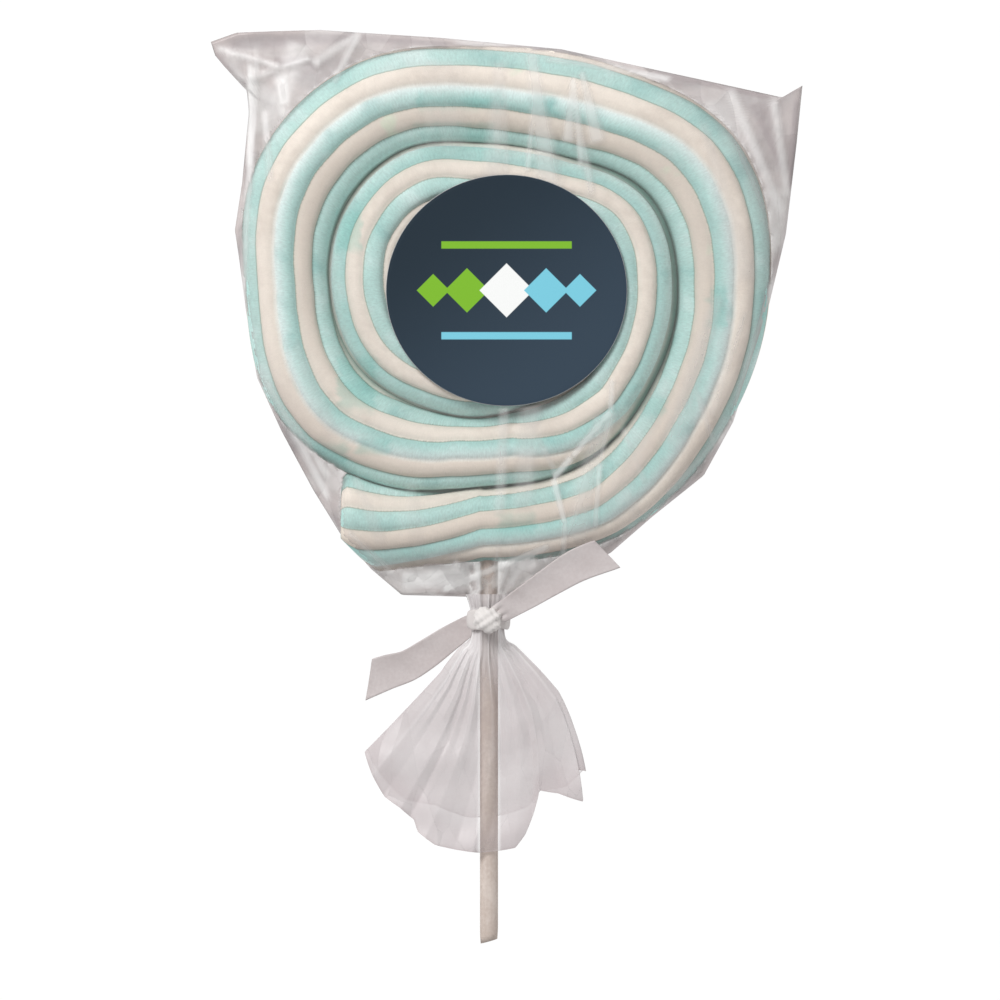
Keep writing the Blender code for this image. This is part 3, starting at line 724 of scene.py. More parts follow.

# Creases of the film: from x, y to x, y, half its width at both ends, its rise, and how
# much painted highlight it gets, or painted shade below nought. A wide one is a facet with a painted
# highlight.
creases = [
    (6.2, 84.7, 4.2, 65.0, 0.6, 0.5, 0.15, 0.40), (6.4, 84.7, 8.0, 68.0, 0.4, 1.3, 0.1, 0.30),
    (13.7, 84.7, 12.6, 71.0, 0.6, 1.5, 0.15, 0.55), (13.8, 84.0, 15.4, 66.0, 0.4, 0.5, 0.2, 0.55),
    (13.8, 82.0, 17.6, 60.0, 0.6, 1.0, 0.0, 0.4), (-0.8, 82.0, -0.2, 63.0, 0.3, 0.3, 0.1, 0.25),
    (21.6, 15.6, 13.3, 5.8, 0.4, 0.6, 0.25, 0.6), (13.3, 5.8, 9.6, 1.5, 0.7, 0.5, 0.25, 0.65),
    (9.6, 1.5, 12.0, -8.0, 0.5, 0.6, 0.2, 0.6), (12.0, -8.0, 11.6, -15.0, 0.5, 0.4, 0.15, 0.5),
    (21.8, 22.0, 21.4, 15.5, 0.3, 0.5, 0.2, 0.5), (21.4, 15.5, 19.2, 5.0, 1.4, 0.5, 0.15, 0.4),
    (19.2, 5.0, 18.2, -9.0, 0.4, 0.4, 0.2, 0.5), (19.5, 15.0, 14.2, -12.0, 1.5, 3.6, 0.0, 0.36),
    (5.0, 17.0, 3.0, -5.0, 2.6, 2.2, 0.0, 0.3), (-0.6, 17.0, -1.6, -6.0, 1.1, 1.3, 0.0, 0.34),
    (5.0, 90.0, 9.0, 60.0, 1.3, 3.2, 0.0, 0.42), (15.4, 86.0, 18.8, 71.0, 0.7, 1.9, 0.0, 0.5),
    (-13.4, 88.0, -13.2, 69.0, 5.2, 5.0, 0.0, 0.2), (-1.5, 88.0, -3.0, 63.0, 1.4, 2.4, 0.0, 0.32),
    (40.5, 76.0, 50.0, 42.0, 1.0, 2.6, 0.0, 0.28), (44.0, 40.0, 34.0, 8.0, 1.6, 2.6, 0.0, 0.34),
    (33.0, 22.0, 21.0, -6.0, 2.0, 3.4, 0.0, 0.24), (49.5, 36.0, 42.0, 14.0, 0.6, 1.2, 0.1, 0.32),
    (-22.0, -19.6, -8.0, -19.0, 2.4, 2.8, 0.0, 0.5), (0.5, -17.5, 6.0, -15.5, 2.0, 1.8, 0.0, 0.5),
    (-31.5, 2.0, -26.0, -12.0, 0.8, 1.6, 0.0, 0.2), (-44.0, 30.0, -36.0, 10.0, 1.0, 1.8, 0.0, 0.18),
    (24.0, 0.0, 27.0, -6.5, 1.2, 1.6, 0.0, 0.28), (-20.0, 0.5, -18.5, -14.0, 1.4, 2.0, 0.0, 0.14),
    (-7.2, -22.0, -5.7, -27.0, 1.2, 0.9, 0.1, 0.6), (-0.6, -22.0, -2.3, -27.0, 1.2, 0.9, 0.1, 0.6),
    (-4.2, -20.5, -3.8, -27.0, 0.8, 0.7, 0.1, 0.4), (24.0, 12.0, 28.5, 0.5, 0.4, 0.3, 0.2, 0.3),
    (10.5, 2.0, 5.0, 12.0, 0.3, 0.3, 0.1, 0.25),
    (-13.5, -21.8, 8.9, -12.4, 0.35, 0.3, 0.3, 0.75), (-11.0, -17.8, -3.0, -20.5, 0.6, 0.4, 0.2, 0.4),
    (-17.0, -20.0, -9.5, -17.0, 0.5, 0.3, 0.2, 0.4), (-1.0, -15.0, -2.5, -21.5, 0.3, 0.3, 0.2, 0.5),
    (3.5, -15.5, 0.5, -20.8, 0.3, 0.4, 0.2, 0.5), (-6.3, -16.0, -5.6, -22.0, 0.3, 0.3, 0.2, 0.5),
    (-53.4, 88.0, -53.6, 66.0, 0.5, 0.4, 0.7, 0.5), (-52.0, 90.5, -55.4, 33.0, 0.3, 0.4, 0.5, 0.35),
    (-31.0, 94.0, -40.5, 87.5, 0.7, 1.2, 0.8, 0.25), (-31.0, 94.0, -36.0, 83.5, 0.3, 0.4, 0.6, 0.3),
    (-60.5, 91.0, -47.0, 87.0, 0.6, 0.8, 0.8, 0.3), (-53.5, 84.5, -41.0, 89.0, 0.5, 0.4, 0.6, 0.3),
    (-48.0, 84.0, -46.5, 76.0, 0.8, 0.5, 0.5, 0.25), (-43.0, 92.0, -48.0, 79.0, 2.6, 2.0, 0.2, 0.25),
    (-58.0, 90.0, -55.0, 84.0, 1.5, 0.8, 0.8, 0.2), (46.2, 82.6, 57.3, 56.0, 1.3, 1.0, 0.5, 0.32),
    (55.5, 81.0, 58.4, 60.0, 1.0, 0.9, 0.6, 0.3), (43.0, 80.0, 56.0, 50.0, 2.6, 1.8, 0.1, 0.2),
    (34.0, 84.5, 20.0, 87.0, 0.4, 0.3, 0.3, 0.35), (24.0, 86.5, 8.0, 88.5, 0.4, 0.3, 0.2, 0.3),
    (55.5, 43.0, 47.0, 16.0, 0.4, 0.3, 0.4, 0.3), (45.0, 11.0, 33.0, -2.0, 0.4, 0.4, 0.4, 0.35),
    (-50.0, 22.0, -37.0, -3.0, 0.4, 0.3, 0.4, 0.35), (-45.0, 14.0, -37.0, 1.5, 0.3, 0.3, 0.3, 0.3),
    (-33.0, -9.5, -24.0, -18.0, 0.4, 0.3, 0.3, 0.35), (39.0, 20.0, 43.0, 8.5, 0.4, 0.4, 0.2, 0.3),
    (-46.8, 85.8, -46.4, 79.0, 2.0, 1.4, 0.2, 0.4), (-50.5, 78.0, -49.0, 63.0, 0.7, 1.0, 0.1, 0.3),
    (-58.0, 91.9, -31.0, 93.3, 1.7, 1.3, 0.0, -0.8), (-31.0, 93.3, -12.0, 91.6, 1.3, 0.5, 0.0, -0.8),
    (-48.5, 88.0, -41.0, 88.8, 1.5, 0.9, 0.0, -0.6), (-61.0, 89.8, -54.0, 83.0, 0.9, 0.7, 0.0, -0.7),
    (-52.6, 80.0, -53.4, 60.0, 0.8, 0.6, 0.0, -0.5), (-44.0, 84.0, -40.0, 87.5, 0.7, 0.5, 0.0, -0.5),
    (51.0, 79.5, 57.5, 66.0, 1.1, 0.7, 0.0, -0.7), (60.2, 80.5, 58.9, 62.0, 0.7, 0.4, 0.0, -0.8),
    (46.5, 74.0, 53.5, 57.0, 1.2, 0.8, 0.0, -0.5), (33.0, 85.3, 54.0, 81.2, 0.7, 0.7, 0.0, -0.6),
    (57.0, 50.0, 51.5, 30.0, 0.5, 0.4, 0.0, -0.5), (45.0, 9.0, 31.0, -6.0, 0.5, 0.4, 0.0, -0.4),
]


def insideOutline(x, y):
    inside = np.zeros(x.shape, bool)
    corners = bag["outline"]
    for (ax, ay), (bx, by) in zip(corners, corners[1:] + corners[:1]):
        crosses = (ay > y) != (by > y)
        cut = ax + (y - ay) / (by - ay + 1e-12) * (bx - ax)
        inside ^= crosses & (x < cut)
    return inside


def edgeHeight(x, y):
    # Height of the bag's edge, which waves up and down outside the coil.
    dx = x - rope["centre"][0]
    dy = y - rope["centre"][1]
    angle = np.degrees(np.arctan2(dy, dx))
    angle = np.where(angle < rope["edgeStart"], angle + 360, angle)
    outside = np.clip((np.hypot(dx, dy) - edgeRadius(angle)) / bag["edgeWaveReach"], 0, 1)
    return middle + bag["edgeWave"] * outside * np.sin(bag["edgeWaves"] * np.radians(angle))


def neckHeight(x, y):
    # Half thickness of the bag where it is gathered above the tie.
    halfWidth = bag["neckHalf"][0] + bag["neckSpread"] * np.maximum(0, y - bag["neckTop"])
    share = np.clip(np.abs(x - bag["neckX"]) / halfWidth, 0, 1)
    return bag["neckHalf"][1] * np.sqrt(1 - share ** 2)


def stretchFilm(tree, side):
    # Height map of the film on one side: pulled tight between the outline and whatever
    # holds it up, by relaxing it until it stops moving.
    corners = np.array(bag["outline"])
    xs = np.arange(corners[:, 0].min() - 1, corners[:, 0].max() + 1, bag["cell"])
    ys = np.arange(corners[:, 1].min() - 1, corners[:, 1].max() + 1, bag["cell"])
    x, y = np.meshgrid(xs, ys)
    held = ~insideOutline(x, y) | (y < bag["neckTop"])
    edge = np.where(y < bag["neckTop"], middle + side * neckHeight(x, y), edgeHeight(x, y))
    under = np.full(x.shape, middle)
    start = Vector((0, 0, bag["rayStart"] * mm * side))
    for row, column in zip(*np.nonzero(~held)):
        start.x = x[row, column] * mm
        start.y = y[row, column] * mm
        hit = tree.ray_cast(start, Vector((0, 0, -side)))[0]
        if hit:
            under[row, column] = hit.z / mm + side * bag["clearance"]
    touched = side * (under - middle) > 0.01
    level = np.where(held, edge, under)
    odd = (np.add.outer(np.arange(len(ys)), np.arange(len(xs))) % 2).astype(bool)
    for _ in range(bag["sweeps"]):
        for cells in (odd, ~odd):
            pad = np.pad(level, 1, mode="edge")
            mean = (pad[:-2, 1:-1] + pad[2:, 1:-1] + pad[1:-1, :-2] + pad[1:-1, 2:]) / 4
            moved = level + bag["overshoot"] * (mean - level)
            moved = np.where(touched, np.maximum(moved * side, under * side) * side, moved)
            level = np.where(cells & ~held, moved, level)
    return xs, ys, level, np.where(touched, under, middle), touched.astype(float)


def readMap(xs, ys, values, x, y):
    # Value between the four cells round each point.
    column = np.clip((x - xs[0]) / bag["cell"], 0, len(xs) - 1.001)
    row = np.clip((y - ys[0]) / bag["cell"], 0, len(ys) - 1.001)
    i = column.astype(int)
    j = row.astype(int)
    fx = column - i
    fy = row - j
    near = values[j, i] * (1 - fx) + values[j, i + 1] * fx
    far = values[j + 1, i] * (1 - fx) + values[j + 1, i + 1] * fx
    return near * (1 - fy) + far * fy


def creaseMarks(x, y, shift):
    # Rise, painted highlight and painted shade that the creases add at each point.
    rise = np.zeros_like(x)
    white = np.zeros_like(x)
    dark = np.zeros_like(x)
    for ax, ay, bx, by, startWidth, endWidth, height, tint in creases:
        length = math.hypot(bx - ax, by - ay)
        ux, uy = (bx - ax) / length, (by - ay) / length
        run = ((x - ax) * ux + (y - ay) * uy) / length
        gap = (x - ax) * uy - (y - ay) * ux + shift
        half = np.maximum(startWidth + (endWidth - startWidth) * np.clip(run, 0, 1), bag["thinnest"])
        ends = ease(-0.04, 0.06, run) * ease(1.04, 0.94, run)
        rise += height * ends * np.exp(-(gap / (half + 0.25)) ** 2)
        shown = abs(tint) * ends * ease(1.4, 0.3, np.abs(gap) / half)
        if tint > 0:
            white = np.maximum(white, shown)
        else:
            dark = np.maximum(dark, shown)
    return rise, white, dark


def bagShapeOf(maps):
    def bagShape(u, v):
        corners = np.array(bag["outline"] + bag["outline"][:1], float)
        run = np.concatenate([[0], np.cumsum(np.hypot(*np.diff(corners, axis=0).T))])
        edgeX = np.interp(u * run[-1], run, corners[:, 0])
        edgeY = np.interp(u * run[-1], run, corners[:, 1])
        rings = bag["frontRings"] + bag["backRings"]
        ring = np.rint(v * rings)
        front = ring <= bag["frontRings"]
        share = np.where(front, ring / bag["frontRings"], (rings - ring) / bag["backRings"])
        cx, cy = rope["centre"]
        x = cx + (edgeX - cx) * share
        y = cy + (edgeY - cy) * share
        z, over, streak, facet, creaseShade = np.zeros((5, len(x)))
        for side, part in ((1, front), (-1, ~front)):
            xs, ys, level, under, touched = maps[side]
            px, py = x[part], y[part]
            z0 = readMap(xs, ys, level, px, py)
            floor = readMap(xs, ys, under, px, py)
            cover = readMap(xs, ys, touched, px, py)
            free = 1 - ease(0.3, 1.0, cover)
            inward = ease(1.0, 0.9, share[part])
            rise, white, dark = creaseMarks(px, py, 0 if side > 0 else bag["backShift"])
            length, depth, fine = bag["crumpleLength"], bag["crumpleDepth"], bag["fineCrumple"]
            fold = crumple(px, py, length, 5 + side) * depth
            fold += crumple(px, py, length * fine, 15 + side) * depth * fine
            nx = px - bag["neckX"]
            ny = py - bag["neckY"]
            fromNeck = np.hypot(nx, ny)
            fan = np.degrees(np.arctan2(nx, ny))
            uneven = 1.3 * wander(fan, (31, 17), 3 + side)
            comb = np.sin(np.radians(fan * bag["gathers"] / 2) + uneven)
            gather = bag["gatherDepth"] * comb * ease(3, 6, fromNeck) * ease(40, 14, fromNeck)
            # Facets of the free film that get painted shade or a painted highlight, as if turned away
            # from or towards the light.
            facet[part] = crumple(px, py, length * 1.3, 25 + side, 3) * free
            overShare, overGather = bag["overShare"], bag["overGather"]
            lift = (rise + fold * 0.8) * (overShare + (1 - overShare) * free) * inward
            lift += gather * (overGather + (1 - overGather) * free) * inward
            bulge = side * np.maximum(side * (z0 + side * lift), side * floor)
            z[part] = np.where(inward > 0, bulge, z0)
            over[part] = ease(0.3, 0.9, cover)
            # Painted highlight on the ridges of the gathers near the neck and on the white creases;
            # painted shade on the dark creases.
            gatherHighlight = 0.5 * ease(0.5, 1.0, comb) * ease(3, 5, fromNeck) * ease(20, 8, fromNeck)
            streak[part] = np.maximum(white, gatherHighlight)
            creaseShade[part] = dark
        edge = np.where(y < bag["neckTop"], middle, edgeHeight(x, y))
        z = np.where(ring == bag["frontRings"], edge, z)
        z = np.clip(z, bag["lowest"], bag["highest"])
        rim = ease(0.975, 1.0, share)
        return np.stack([x, y, z], -1), {"over": over, "streak": streak, "rim": rim,
                                         "facet": facet, "creaseShade": creaseShade}
    return bagShape


film = {
    "grey": colour(0.565, 0.50, 0.49),
    # shade is painted shade and white a painted highlight, on the film's creases, streaks and facets.
    "shade": colour(0.36, 0.315, 0.32),
    "white": colour(0.86, 0.85, 0.84),
    "flapAlpha": 0.58,
    "overAlpha": 0.12,
    "streakAlpha": 0.58,
    "creaseShadeAlpha": 0.25,
    "rimAlpha": 0.28,
    "grazeAlpha": 0.25,
    "mostAlpha": 0.95,
    "roughness": 0.36,
    "specular": 0.3,
    "facetSlope": 0.42,         # of the crushed film's facets
    "wrinkleHeight": 0.00014,   # of its fine wrinkles, in metres
}


def filmAlpha(board, base, masks):
    # The film hides more by each mask's share, and at grazing angles.
    for mask, share in masks:
        base = board.timesPlus(mask, share, base)
    graze = board.add("ShaderNodeLayerWeight", {"Blend": 0.35}).outputs["Facing"]
    base = board.timesPlus(graze, film["grazeAlpha"], base)
    return board.math("MINIMUM", base, film["mostAlpha"])


def filmRelief(board, facets, place, scale):
    wrinkle = board.times(board.noise(place, scale), film["wrinkleHeight"])
    return board.bump(board.timesPlus(facets, film["facetSlope"], wrinkle), 1.0, 1.0)


def makeFilmMaterial():
    material, board = newMaterial("clearFilm", film["roughness"], film["specular"])
    place = board.objectPlace()
    over, streak, rim, facet, creaseShade = (board.attribute(name) for name in
                                      ("over", "streak", "rim", "facet", "creaseShade"))
    patch = flecks(board, place, 70.0, 420.0, 0.7)
    base = board.timesPlus(over, film["overAlpha"] - film["flapAlpha"], film["flapAlpha"])
    base = board.times(base, board.step(patch, 0.3, 0.7, 0.7, 1.25))
    masks = (streak, film["streakAlpha"]), (creaseShade, film["creaseShadeAlpha"]), (rim, film["rimAlpha"])
    board.shade("Alpha", filmAlpha(board, base, masks))
    # Painted shade on facets turned from the light and in the dark creases, painted highlight on
    # facets turned towards it.
    tint = board.blend(board.step(facet, -0.05, -0.22, 0.0, 0.8), film["grey"], film["shade"])
    tint = board.blend(board.step(facet, 0.05, 0.2, 0.0, 0.4), tint, film["white"])
    tint = board.blend(creaseShade, tint, film["shade"])
    slanted = board.stretch(place, (1.0, 0.32, 1.0), -0.35)
    facetRise, facetShade = crushed(board, slanted, 170.0)
    # Painted shade and painted highlight on the crushed facets, each by its own random value.
    tint = board.blend(board.step(facetShade, 0.45, 0.15, 0.0, 0.17), tint, film["shade"])
    tint = board.blend(board.step(facetShade, 0.6, 0.95, 0.0, 0.12), tint, film["white"])
    # Painted highlight on the white creases, streaks and gathers.
    paintedHighlight = board.math("MINIMUM", board.times(streak, 1.8), 1.0)
    board.shade("Base Color", board.blend(paintedHighlight, tint, film["white"]))
    board.shade("Normal", filmRelief(board, facetRise, place, 260.0))
    return material


def makeBag(marshmallow, stickPiece, filmMaterial):
    bm = joinMeshes([marshmallow, stickPiece.data])
    tree = BVHTree.FromBMesh(bm)
    bm.free()
    maps = {side: stretchFilm(tree, side) for side in (1, -1)}
    print("film stretched over the coil")
    rings = bag["frontRings"] + bag["backRings"]
    mesh = gridMesh(bag["around"], rings, bagShapeOf(maps), "bagFilm")
    return addPiece(mesh, filmMaterial, "marshmallow", "filled_bag")


# Skirt of the bag below the tie: an open, pleated fan of film round the stick

skirt = {
    "around": 480,
    "rows": 96,
    "neckRows": 10,
    "neckTop": -22.6,
    "neckBottom": -29.4,
    "neckRadius": 3.2,
    "neckPleats": (0.28, 0.12),     # depth of the broad and the fine ones
    "apex": (-3.95, -27.9),
    "start": 5.0,               # where the fan leaves the neck, from its apex
    "leftAngle": [(0.0, -48.0), (0.3, -42.0), (1.0, -43.0)],
    "rightAngle": [(0.0, 47.0), (0.3, 46.0), (0.5, 44.5), (0.75, 38.5), (1.0, 33.2)],
    "frontRim": [(-43.0, 37.7), (-36.8, 40.3), (-30.2, 42.7), (-25.1, 43.2), (-20.3, 44.4),
                 (-18.3, 46.5), (-13.3, 48.1), (-2.0, 48.5), (6.8, 47.8), (9.8, 45.4),
                 (13.0, 41.7), (16.8, 37.1), (22.0, 39.0), (27.6, 42.8), (29.5, 39.5),
                 (31.0, 36.5), (33.2, 37.8)],
    "backRim": [(-43.0, 37.3), (-34.0, 39.5), (-25.0, 41.4), (-16.0, 40.3), (-6.0, 41.6),
                (4.0, 41.0), (12.0, 40.0), (17.0, 37.4), (25.0, 38.5), (33.2, 37.0)],
    "depth": [(0.0, 3.2), (0.3, 3.0), (1.0, 3.5)],
    "pleats": 7,
    "pleatDepth": 0.6,
    "finePleats": 12,
    "finePleatDepth": 0.3,
    "waveDepth": 0.5,
    "neckFlare": 1.4,
    "clearStick": 2.15,
    "alpha": (0.22, 0.34),      # where it is clearest and where it is dullest
    "frontAlpha": 0.36,
    "creaseShadeAlpha": 0.04,
    "streakAlpha": 0.3,
    "rimAlpha": 0.3,
    "grey": colour(0.525, 0.465, 0.47),
    # white is a painted highlight on the pleat ridges and near the neck.
    "white": colour(0.84, 0.82, 0.82),
}


def pleatCurve(f, count, seed):
    # Ridges and valleys of uneven width and height across the fan.
    draw = np.random.default_rng(seed)
    widths = draw.uniform(0.5, 1.5, 2 * count)
    knots = np.concatenate([[0], np.cumsum(widths)]) / widths.sum()
    heights = np.where(np.arange(2 * count + 1) % 2, 1, -1) * draw.uniform(0.35, 1.0, 2 * count + 1)
    return np.interp(f, knots, heights)


def pleatsBothWays(f, half, count, seed):
    # The front and the back fold each in their own way.
    return np.where(half > 0, pleatCurve(f, count, seed), pleatCurve(f, count, seed + 1))


def skirtShape(u, v):
    # The front runs from left to right, the back from right to left: f is 0 at the left.
    rows = skirt["rows"]
    neckRows = skirt["neckRows"]
    row = np.rint(v * rows)
    half = np.where(u < 0.5, 1, -1)
    f = np.where(u < 0.5, u * 2, 2 - u * 2)
    bulge = np.sqrt(np.clip(1 - (2 * f - 1) ** 2, 0, 1))
    folds = pleatsBothWays(f, half, skirt["pleats"], 21)
    fine = pleatsBothWays(f, half, skirt["finePleats"], 23)
    share = np.clip((row - neckRows) / (rows - neckRows), 0, 1)
    # Neck: a gathered tube.
    down = np.clip(row / neckRows, 0, 1)
    neckY = skirt["neckTop"] + (skirt["neckBottom"] - skirt["neckTop"]) * down
    flare = skirt["neckFlare"] * (1 - down) ** 2
    broadDepth, fineDepth = skirt["neckPleats"]
    tube = skirt["neckRadius"] + flare + broadDepth * folds + fineDepth * fine
    neckX = skirt["apex"][0] - tube * np.cos(np.pi * f)
    neckZ = half * tube * np.sin(np.pi * f)
    # Fan: angles and lengths from the apex.
    left = along(skirt["leftAngle"], share)
    right = along(skirt["rightAngle"], share)
    angle = left + f * (right - left)
    rimLeft, rimRight = skirt["leftAngle"][-1][1], skirt["rightAngle"][-1][1]
    rimAngle = rimLeft + f * (rimRight - rimLeft)
    rim = np.where(half > 0, along(skirt["frontRim"], rimAngle), along(skirt["backRim"], rimAngle))
    reach = skirt["start"] + share * (rim - skirt["start"])
    bend = np.radians(angle)
    fanX = skirt["apex"][0] + reach * np.sin(bend)
    fanY = skirt["apex"][1] - reach * np.cos(bend)
    depth = along(skirt["depth"], share)
    grow = skirt["pleatDepth"] * ease(-0.1, 0.6, share)
    fineGrow = skirt["finePleatDepth"] * fine * ease(0, 0.15, share)
    relief = folds * grow * np.sqrt(bulge) + fineGrow * ease(0.8, 0.25, share)
    wave = skirt["waveDepth"] * wander(reach + 20 * f, (19, 11), 8)
    relief = relief + wave * share * np.sqrt(bulge)
    fanZ = half * bulge * depth * 0.8 + relief
    inFan = row > neckRows
    turnOver = np.where(inFan, ease(0.0, 0.09, share), 0)
    x = neckX + (fanX - neckX) * turnOver
    y = np.where(inFan, neckY + (fanY - neckY) * ease(-0.02, 0.06, share), neckY)
    z = neckZ + (fanZ - neckZ) * turnOver
    gap = np.abs(x - stick["x"])
    room = np.sqrt(np.clip(skirt["clearStick"] ** 2 - gap ** 2, 0, None))
    z = np.where(gap < skirt["clearStick"], half * np.maximum(half * z, room), z)
    # Masks for the finish: painted highlight on the pleat ridges and near the neck, painted shade as
    # denser film in the pleat valleys, a denser hem, and a front that is clearer over the stick.
    ridge = ease(0.35, 0.95, half * folds) * 0.6
    ridge += ease(0.6, 0.9, half * fine) * 0.3 * ease(0.6, 0.1, share)
    hem = ease(0.985, 1.0, share) * 0.7
    nearNeck = ease(0.35, 0.0, share) * 0.35
    creaseShade = ease(0.4, 1.0, -half * folds)
    streak = np.clip(ridge * (0.15 + 0.5 * ease(0.7, 0.1, share)) + nearNeck, 0, 1)
    clear = 1.25 * ease(2.7, 1.9, gap) * ease(-0.1, 0.3, share)
    front = (half > 0) * (1 - clear + 0.45 * ease(0.78, 0.95, share))
    return np.stack([x, y, middle + z], -1), {"streak": streak, "rim": hem, "creaseShade": creaseShade,
                                              "front": front}


def makeSkirtMaterial():
    material, board = newMaterial("skirtFilm", film["roughness"], film["specular"])
    place = board.objectPlace()
    patch = flecks(board, place, 90.0, 500.0, 0.7)
    base = board.step(patch, 0.3, 0.7, *skirt["alpha"])
    masks = {name: board.attribute(name) for name in ("front", "creaseShade", "streak", "rim")}
    shares = [(mask, skirt[name + "Alpha"]) for name, mask in masks.items()]
    board.shade("Alpha", filmAlpha(board, base, shares))
    # Painted highlight on the pleat ridges and near the neck.
    paintedHighlight = board.math("MINIMUM", board.times(masks["streak"], 1.5), 1.0)
    board.shade("Base Color", board.blend(paintedHighlight, skirt["grey"], skirt["white"]))
    drawn = board.stretch(place, (1.0, 0.35, 1.0))
    facetRise, _ = crushed(board, drawn, 190.0)
    board.shade("Normal", filmRelief(board, facetRise, drawn, 420.0))
    return material


def makeSkirt():
    mesh = gridMesh(skirt["around"], skirt["rows"], skirtShape, "skirtFilm")
    return addPiece(mesh, makeSkirtMaterial(), "marshmallow")


# Label: a round paper sticker with a plain printed pattern

label = {
    "centre": (-0.1, 40.4),
    "radius": 25.0,
    "heightShare": 0.96,
    "low": 16.82,
    "thickness": 0.3,
    "sides": 160,
    "rings": 44,
    "backRings": 4,
    "rimRings": 6,
    "wave": 0.025,
    "softEdge": 0.12,           # of the printed forms
    "navyDark": colour(0.017, 0.029, 0.042),
    "navyLight": colour(0.036, 0.058, 0.085),
    "green": colour(0.20, 0.46, 0.03),
    "blue": colour(0.19, 0.56, 0.69),
    "paper": colour(0.86, 0.87, 0.86),
}
# Diamonds in a row: middle x, half width and colour. Bars: y, half length, half height, colour.
diamonds = [(-15.2, 3.4, "green"), (-8.2, 4.6, "green"), (0.0, 5.6, "paper"),
            (8.2, 4.6, "blue"), (15.2, 3.4, "blue")]
bars = [(9.4, 13.5, 0.75, "green"), (-9.4, 13.5, 0.75, "blue")]


def labelShape(u, v):
    # Back middle, out over the rounded rim and in again over the front.
    turn = 2 * np.pi * u
    rings, back, edge = label["rings"], label["backRings"], label["rimRings"]
    row = np.rint(v * rings)
    half = label["thickness"] / 2
    flat = label["radius"] - half
    rimTurn = np.clip((row - back) / edge, 0, 1)
    radius = flat + half * np.sin(np.pi * rimTurn)
    radius = np.where(row <= back, row / back * flat, radius)
    radius = np.where(row > back + edge, (rings - row) / (rings - back - edge) * flat, radius)
    x = label["centre"][0] + radius * np.cos(turn)
    y = label["centre"][1] - radius * np.sin(turn) * label["heightShare"]
    wave = label["wave"] * np.sin(x / 9 + 0.7) * np.sin(y / 11) * (radius / label["radius"]) ** 2
    z = label["low"] + half - half * np.cos(np.pi * rimTurn) + wave
    return np.stack([x, y, z], -1), {}


def makeLabelMaterial():
    material, board = newMaterial("printedPaper", 0.5, 0.12)
    place = board.objectPlace()
    centreX, centreY = label["centre"]
    shifted = board.add("ShaderNodeMapping", {"Vector": place, "Scale": (1 / mm,) * 3,
                                              "Location": (-centreX, -centreY, 0)}).outputs[0]
    x, y, _ = board.add("ShaderNodeSeparateXYZ", {0: shifted}).outputs
    slope = board.timesPlus(x, 0.6, board.times(y, -0.8))
    ground = board.blend(board.step(slope, -24.0, 24.0), label["navyDark"], label["navyLight"])
    soft = label["softEdge"]
    for middleX, half, ink in diamonds:
        away = board.math("ABSOLUTE", board.math("SUBTRACT", x, middleX))
        spread = board.math("ADD", away, board.math("ABSOLUTE", y))
        inDiamond = board.step(spread, half - soft, half + soft, 1.0, 0.0)
        ground = board.blend(inDiamond, ground, label[ink])
    for barY, length, height, ink in bars:
        acrossBar = board.math("ABSOLUTE", board.math("SUBTRACT", y, barY))
        inLength = board.step(board.math("ABSOLUTE", x), length - soft, length + soft, 1.0, 0.0)
        inHeight = board.step(acrossBar, height - soft, height + soft, 1.0, 0.0)
        ground = board.blend(board.times(inLength, inHeight), ground, label[ink])
    tall = board.math("DIVIDE", y, label["heightShare"])
    across = board.math("SQRT", board.math("ADD", board.times(x, x), board.times(tall, tall)))
    cutEdge = board.step(across, label["radius"] - 0.16, label["radius"] - 0.04)
    ground = board.blend(board.times(cutEdge, 0.5), ground, label["paper"])
    board.shade("Base Color", ground)
    tooth = flecks(board, place, 300.0, 2600.0, 0.3)
    board.shade("Roughness", board.step(tooth, 0.3, 0.7, 0.42, 0.56))
    board.shade("Normal", board.bump(tooth, 0.25, 0.00006))
    return material


def makeLabel():
    mesh = gridMesh(label["sides"], label["rings"], labelShape, "labelDisc")
    return addPiece(mesh, makeLabelMaterial(), "label", "label")


# Ribbon: a band round the neck, a knot in front and two flat ends

ribbon = {
    "thickness": 0.34,
    "bandY": -27.9,
    "bandRadius": 4.1,
    "bandHalf": 1.9,
    "knotCentre": (-3.9, -27.9, 14.4),
    "knotSize": (3.1, 2.8, 2.3),
    # middle line of each end: x, y, z, half width and twist in degrees
    "rightEnd": [(-3.0, -27.4, 14.0, 1.8, 30), (0.0, -25.6, 14.8, 2.3, 16),
                 (4.2, -23.0, 15.2, 2.7, 8), (9.0, -19.9, 15.4, 3.1, 6),
                 (14.5, -16.6, 15.6, 3.5, 3), (20.8, -14.2, 15.6, 3.6, 0)],
    "leftEnd": [(-4.6, -28.0, 5.0, 1.5, 30), (-8.0, -29.4, 3.8, 2.2, 14),
                (-12.0, -31.9, 3.4, 2.7, 6), (-16.4, -35.0, 3.1, 3.1, 2),
                (-20.6, -37.6, 2.8, 3.3, 0), (-24.8, -39.0, 2.5, 3.6, 0),
                (-28.9, -40.6, 2.2, 3.8, 0)],
    "rightCut": -1.5,
    "leftCut": 2.2,
    "along": 90,
    "across": 22,
    "knotGrid": (64, 40),
    "bandGrid": (96, 20),
    "cloth": colour(0.535, 0.48, 0.475),
    "clothLight": colour(0.605, 0.555, 0.55),
    # fold is painted light: the cloth made lighter on the knot, the band and the ends near the knot.
    "fold": colour(0.80, 0.765, 0.745),
    "weft": colour(0.45, 0.4, 0.39),
}


